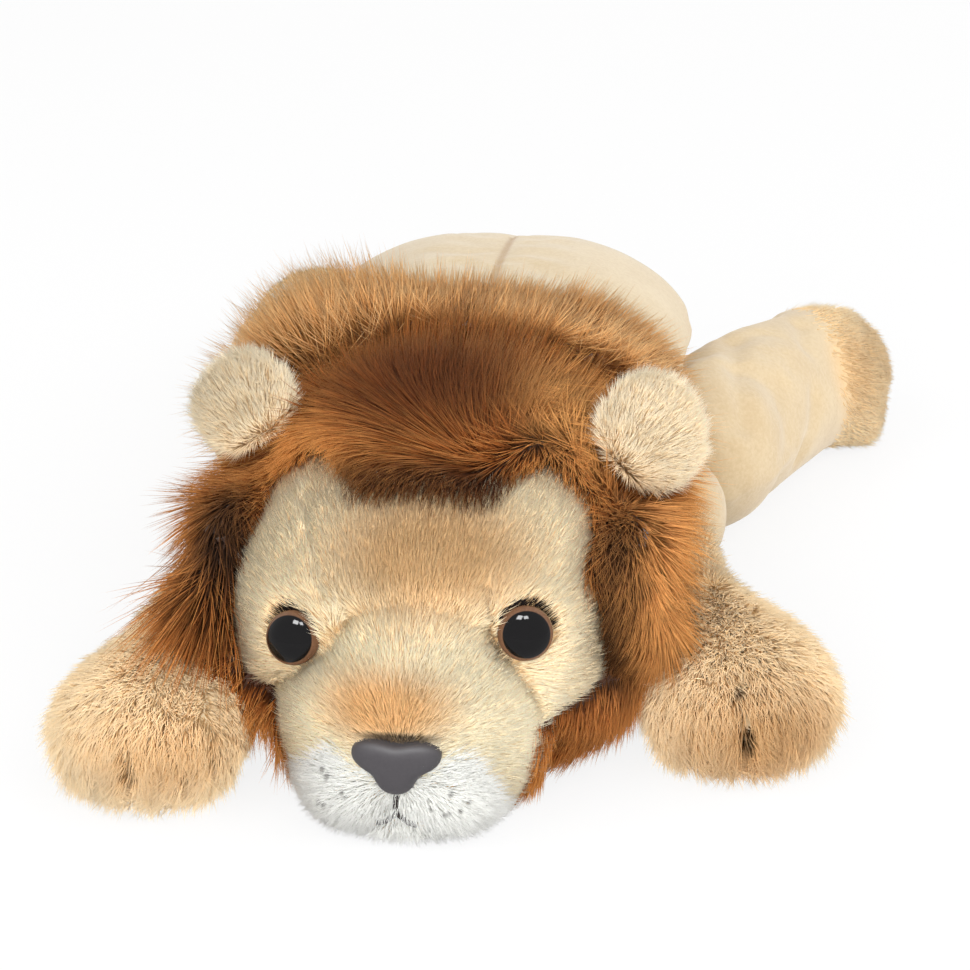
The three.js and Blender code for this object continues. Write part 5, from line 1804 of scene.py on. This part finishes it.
@dataclass
class Studio:
    """A pale floor, soft lamps and the camera at the photograph's angle."""

    camera_place: Place = (135.0, -855.4, 500.0)
    azimuth: float = 7.52
    elevation: float = 24.86
    lens: float = 148.45
    sensor: float = 36.0
    floor_size: float = 6.0
    camera_white: float = 0.85
    world_glow: float = 0.62

    def build(self) -> None:
        """Make the camera, the lamps, the world and the floor."""
        self._camera()
        self._floor()
        self._lamps()
        bpy.context.scene.view_settings.view_transform = "Standard"

    def _camera(self) -> None:
        """The camera looks along its azimuth, down by its elevation."""
        camera = bpy.data.objects.new("camera", bpy.data.cameras.new("camera"))
        bpy.context.scene.collection.objects.link(camera)
        azimuth, elevation = math.radians(self.azimuth), math.radians(self.elevation)
        ahead = Vector((-math.sin(azimuth) * math.cos(elevation), math.cos(azimuth) * math.cos(elevation),
                        -math.sin(elevation)))
        camera.location = at(*self.camera_place)
        camera.rotation_euler = ahead.to_track_quat("-Z", "Y").to_euler()
        camera.data.lens = self.lens
        camera.data.sensor_width = self.sensor
        camera.data.clip_start = 0.01
        bpy.context.scene.camera = camera

    def _floor(self) -> None:
        """A wide white floor that keeps a soft shadow."""
        shape = bmesh.new()
        bmesh.ops.create_grid(shape, x_segments=1, y_segments=1, size=self.floor_size / 2)
        floor = new_piece("floor", mesh_of(shape, "floor"))
        made = bpy.data.materials.new("floor")
        made.use_nodes = True
        bench = NodeBench(made.node_tree)
        matte = bench.node("ShaderNodeBsdfDiffuse", None, {"Color": (0.82, 0.82, 0.82)})
        glow = bench.node("ShaderNodeEmission", None, {"Color": (1.0, 1.0, 1.0), "Strength": 1.0})
        direct = self._seen(bench) * self.camera_white
        mixed = bench.node("ShaderNodeMixShader", None, {0: direct, 1: matte.outputs[0], 2: glow.outputs[0]})
        bench.node("ShaderNodeOutputMaterial", None, {"Surface": mixed.outputs[0]})
        floor.data.materials.append(made)

    @staticmethod
    def _seen(bench: NodeBench) -> Value:
        """Find rays that see the backdrop directly, in a mirror or through glass.

        Args:
            bench: Adds the nodes.

        Returns:
            1 for such a ray and 0 for others.
        """
        path = bench.node("ShaderNodeLightPath").outputs
        direct = Value(bench, path["Is Camera Ray"])
        for kind in ("Is Glossy Ray", "Is Transmission Ray"):
            direct = direct + Value(bench, path[kind])
        return direct.clamp()

    def _lamps(self) -> None:
        """Soft lamps, two small ones that only gleam on the eyes, and a pale world all round."""
        for name, place, size, power in (
            ("lamp_left", (-700, -500, 1000), 0.9, 5.5),
            ("lamp_right", (750, -450, 1000), 0.9, 4.6),
            ("lamp_front", (40, -1100, 400), 0.9, 14.0),
            ("lamp_side", (1150, 250, 450), 0.9, 5.5),
            ("lamp_back", (100, 900, 1000), 0.8, 1.5),
            ("gleam_left", (-110, -290, 890), 0.26, 9.0),
            ("gleam_right", (190, -290, 890), 0.2, 5.0),
        ):
            lamp = bpy.data.lights.new(name, "AREA")
            lamp.size = size
            lamp.energy = power
            hung = bpy.data.objects.new(name, lamp)
            bpy.context.scene.collection.objects.link(hung)
            hung.location = at(*place)
            hung.rotation_euler = (at(0, 120, 40) - at(*place)).to_track_quat("-Z", "Y").to_euler()
            hung.visible_diffuse = not name.startswith("gleam")
            hung.visible_glossy = name.startswith("gleam")
        world = bpy.data.worlds.new("studio")
        bpy.context.scene.world = world
        world.use_nodes = True
        bench = NodeBench(world.node_tree)
        strength = self._seen(bench) * (1 - self.world_glow) + self.world_glow
        glow = bench.node("ShaderNodeBackground", None, {"Color": (1.0, 1.0, 1.0), "Strength": strength})
        bench.node("ShaderNodeOutputWorld", None, {"Surface": glow.outputs[0]})


def main() -> None:
    """Build the studio and the lion, part by part."""
    logging.basicConfig(level=logging.INFO, format="%(name)s: %(message)s")
    Studio().build()
    # Painted shade along the spine seam: a brownish line where the seam's crease lies in shade.
    seam = Patch((0.3, 195, 79), (1.1, 85, 22), paint(176, 142, 100), 0.7, 0.6)
    velour = VelourFinish("body_velour", paint(210, 192, 160), paint(198, 177, 142), patches=(seam,))
    tan = Patch((99, 249, 26), (8, 11, 12), paint(232, 188, 130), 0.5, 0.7)
    leg_cloth = VelourFinish("leg_velour", paint(204, 184, 150), paint(191, 168, 132), patches=(tan,))
    foot_pile = PileFinish("foot_pile", paint(246, 216, 168), paint(252, 230, 190), paint(255, 240, 210), patches=(
        tan, Patch((110, 268, 20), (16, 18, 18), paint(244, 200, 140), 0.5, 0.7)))
    skin = VelourFinish("face_cloth", paint(216, 182, 132), paint(190, 152, 104), under=paint(60, 34, 18))
    ear_cloth = VelourFinish("ear_cloth", paint(230, 202, 158), paint(206, 172, 126))
    dark_cloth = VelourFinish("mane_cloth", paint(74, 42, 22), paint(44, 26, 14))
    neck_cloth = VelourFinish("collar_cloth", paint(150, 100, 58), paint(118, 76, 42))
    face = PileFinish("face_pile", paint(252, 220, 174), paint(255, 238, 200), paint(255, 247, 222), patches=(
        Patch((5, 28, 67), (24, 24, 12), paint(238, 190, 128), 0.8, 0.6),))
    muzzle = PileFinish("muzzle_pile", paint(253, 226, 182), paint(255, 242, 208), paint(255, 250, 228), patches=(
        Patch((-3, 6, 36), (15.5, 18, 8.0), paint(244, 190, 122), 0.85, 0.6),
        Patch((0.5, -1, 29.6), (11.5, 5, 1.4), paint(60, 50, 44), 0.9, 0.4)))
    lash = PileFinish("eye_line", paint(24, 19, 18), paint(34, 27, 25), paint(46, 36, 32))
    dash = paint(140, 136, 130)
    white = PileFinish("white_pile", paint(232, 231, 224), paint(248, 248, 243), paint(253, 253, 250), uneven=0.08,
                       patches=tuple(Patch(place, (0.7, 4.0, 0.7), dash, 0.8, 0.5) for place in (
                           (-18.7, 0, 20.0), (-17.4, 0, 18.6), (-13.4, 0, 15.2), (-12.6, 0, 14.2), (-19.5, 0, 11.0),
                           (-18.2, 0, 10.6), (8.9, 0, 11.9), (12.3, 0, 10.6), (13.4, 0, 11.2), (16.2, 0, 12.0),
                           (18.2, 0, 14.2), (13.8, 0, 16.5))))
    ear = PileFinish("ear_pile", paint(236, 204, 158), paint(250, 230, 194), paint(255, 243, 218), patches=(
        Patch((-44, 84, 62), (12, 16, 10), paint(226, 176, 112), 0.6, 0.7),
        Patch((44, 84, 62), (12, 16, 10), paint(226, 176, 112), 0.5, 0.7)))
    spot = paint(70, 50, 36)
    paw = PileFinish("paw_pile", paint(238, 204, 154), paint(244, 217, 174), paint(252, 232, 198), uneven=0.22,
                     blotch=0.022, patches=(
                         Patch((-62, 10, 17), (18, 16, 9), paint(236, 184, 120), 0.6, 0.7),
                         Patch((85, 44, 14), (21, 16, 12), paint(214, 162, 102), 0.8, 0.7),
                         Patch((81.4, 44, 25.5), (1.3, 4, 1.3), spot, 0.8, 0.5),
                         Patch((84, 41, 13), (1.4, 8, 4.0), spot, 0.7, 0.6)))
    # Painted shade: near-black in the valleys between the face and the two mane flaps.
    gap_shade = paint(46, 30, 20)
    mane = PileFinish("mane_pile", paint(74, 37, 13), paint(156, 89, 37), paint(218, 152, 84), uneven=0.55, patches=(
        # Painted light: the lion's left flap, on the side the light comes from, made lighter and golden over the
        # mane's own golden tips.
        Patch((64, 60, 45), (16, 32, 34), paint(226, 164, 98), 0.75, 0.7),
        Patch((-66, 60, 40), (16, 32, 32), paint(180, 120, 66), 0.55, 0.7),
        # Painted light on the lion's left jaw, the lit side.
        Patch((50, 40, 20), (16, 20, 14), paint(178, 112, 60), 0.5, 0.7),
        # Painted shade under the fringe, where the crown's front edge hangs over the brow.
        Patch((4, 47, 75), (38, 9, 9), paint(56, 28, 12), 0.9, 0.6),
        Patch((-8, 84, 92), (30, 26, 16), paint(98, 46, 16), 0.8, 0.7),
        # Painted light: the lion's left side of the crown, where the light falls, made golden over its own golden
        # tips.
        Patch((38, 88, 88), (15, 26, 20), paint(232, 172, 102), 0.75, 0.7),
        # Painted shade in the valleys between the face and the flaps.
        Patch((49, 48, 46), (8, 14, 24), gap_shade, 0.9, 0.5),
        Patch((-52, 54, 46), (9, 13, 26), gap_shade, 0.9, 0.5)))
    collar = PileFinish("collar_pile", paint(156, 102, 54), paint(210, 154, 94), paint(238, 194, 138), uneven=0.4)
    tree = PileTree()
    body_cover = Body().build(velour)
    head_cover = Head().build(skin, face, muzzle, white, lash, tree)
    Mane().build_head(dark_cloth, mane, tree, head_cover)
    Mane().build_collar(neck_cloth, collar, tree, body_cover)
    Ear(Side.LEFT, corners=((225, -0.22), (-50, 0.08), (150, -0.06))).build(ear_cloth, ear, tree)
    Ear(Side.RIGHT, 0.82, ((40, 0.1), (-48, -0.28), (212, 0.06), (150, -0.08))).build(ear_cloth, ear, tree)
    Eye(Side.LEFT, look_out=14.0).build()
    Eye(Side.RIGHT, look_out=12.0).build()
    Nose().build(MouldedFinish("nose_plastic", paint(54, 51, 54), 0.6))
    Mouth().build(head_cover, MouldedFinish("thread", paint(36, 28, 25), 0.8))
    for leg in (
        Leg("front_right", (-67, 30), -93, parting=0.35, pressed=((-51, 33, 27), 26.0)),
        Leg("front_left", (78.7, 65.5), -78.3),
        Leg("hind_right", (-65, 270.5), 90),
        Leg("hind_left", (90, 259.6), 33.7, folds=(
            ((66, 222, 48), (67, 212, 48.5), (71, 188, 48), (74, 179, 41)), ((84, 247, 43), (86, 236, 40)),
            ((88, 210, 16), (88, 213, 22), (90, 222, 30)))),
    ):
        leg.build(leg_cloth, paw, foot_pile, tree)
    Tail().build(leg_cloth, dark_cloth, mane, tree)
    washer = MouldedFinish("washer_plastic", paint(216, 216, 212), 0.45).material()
    for node in ("eye_washer_left", "eye_washer_right", "nose_washer"):
        piece = frame["nodes"][node]
        piece.data.materials.clear()
        piece.data.materials.append(washer)


if __name__ == "__main__":
    main()
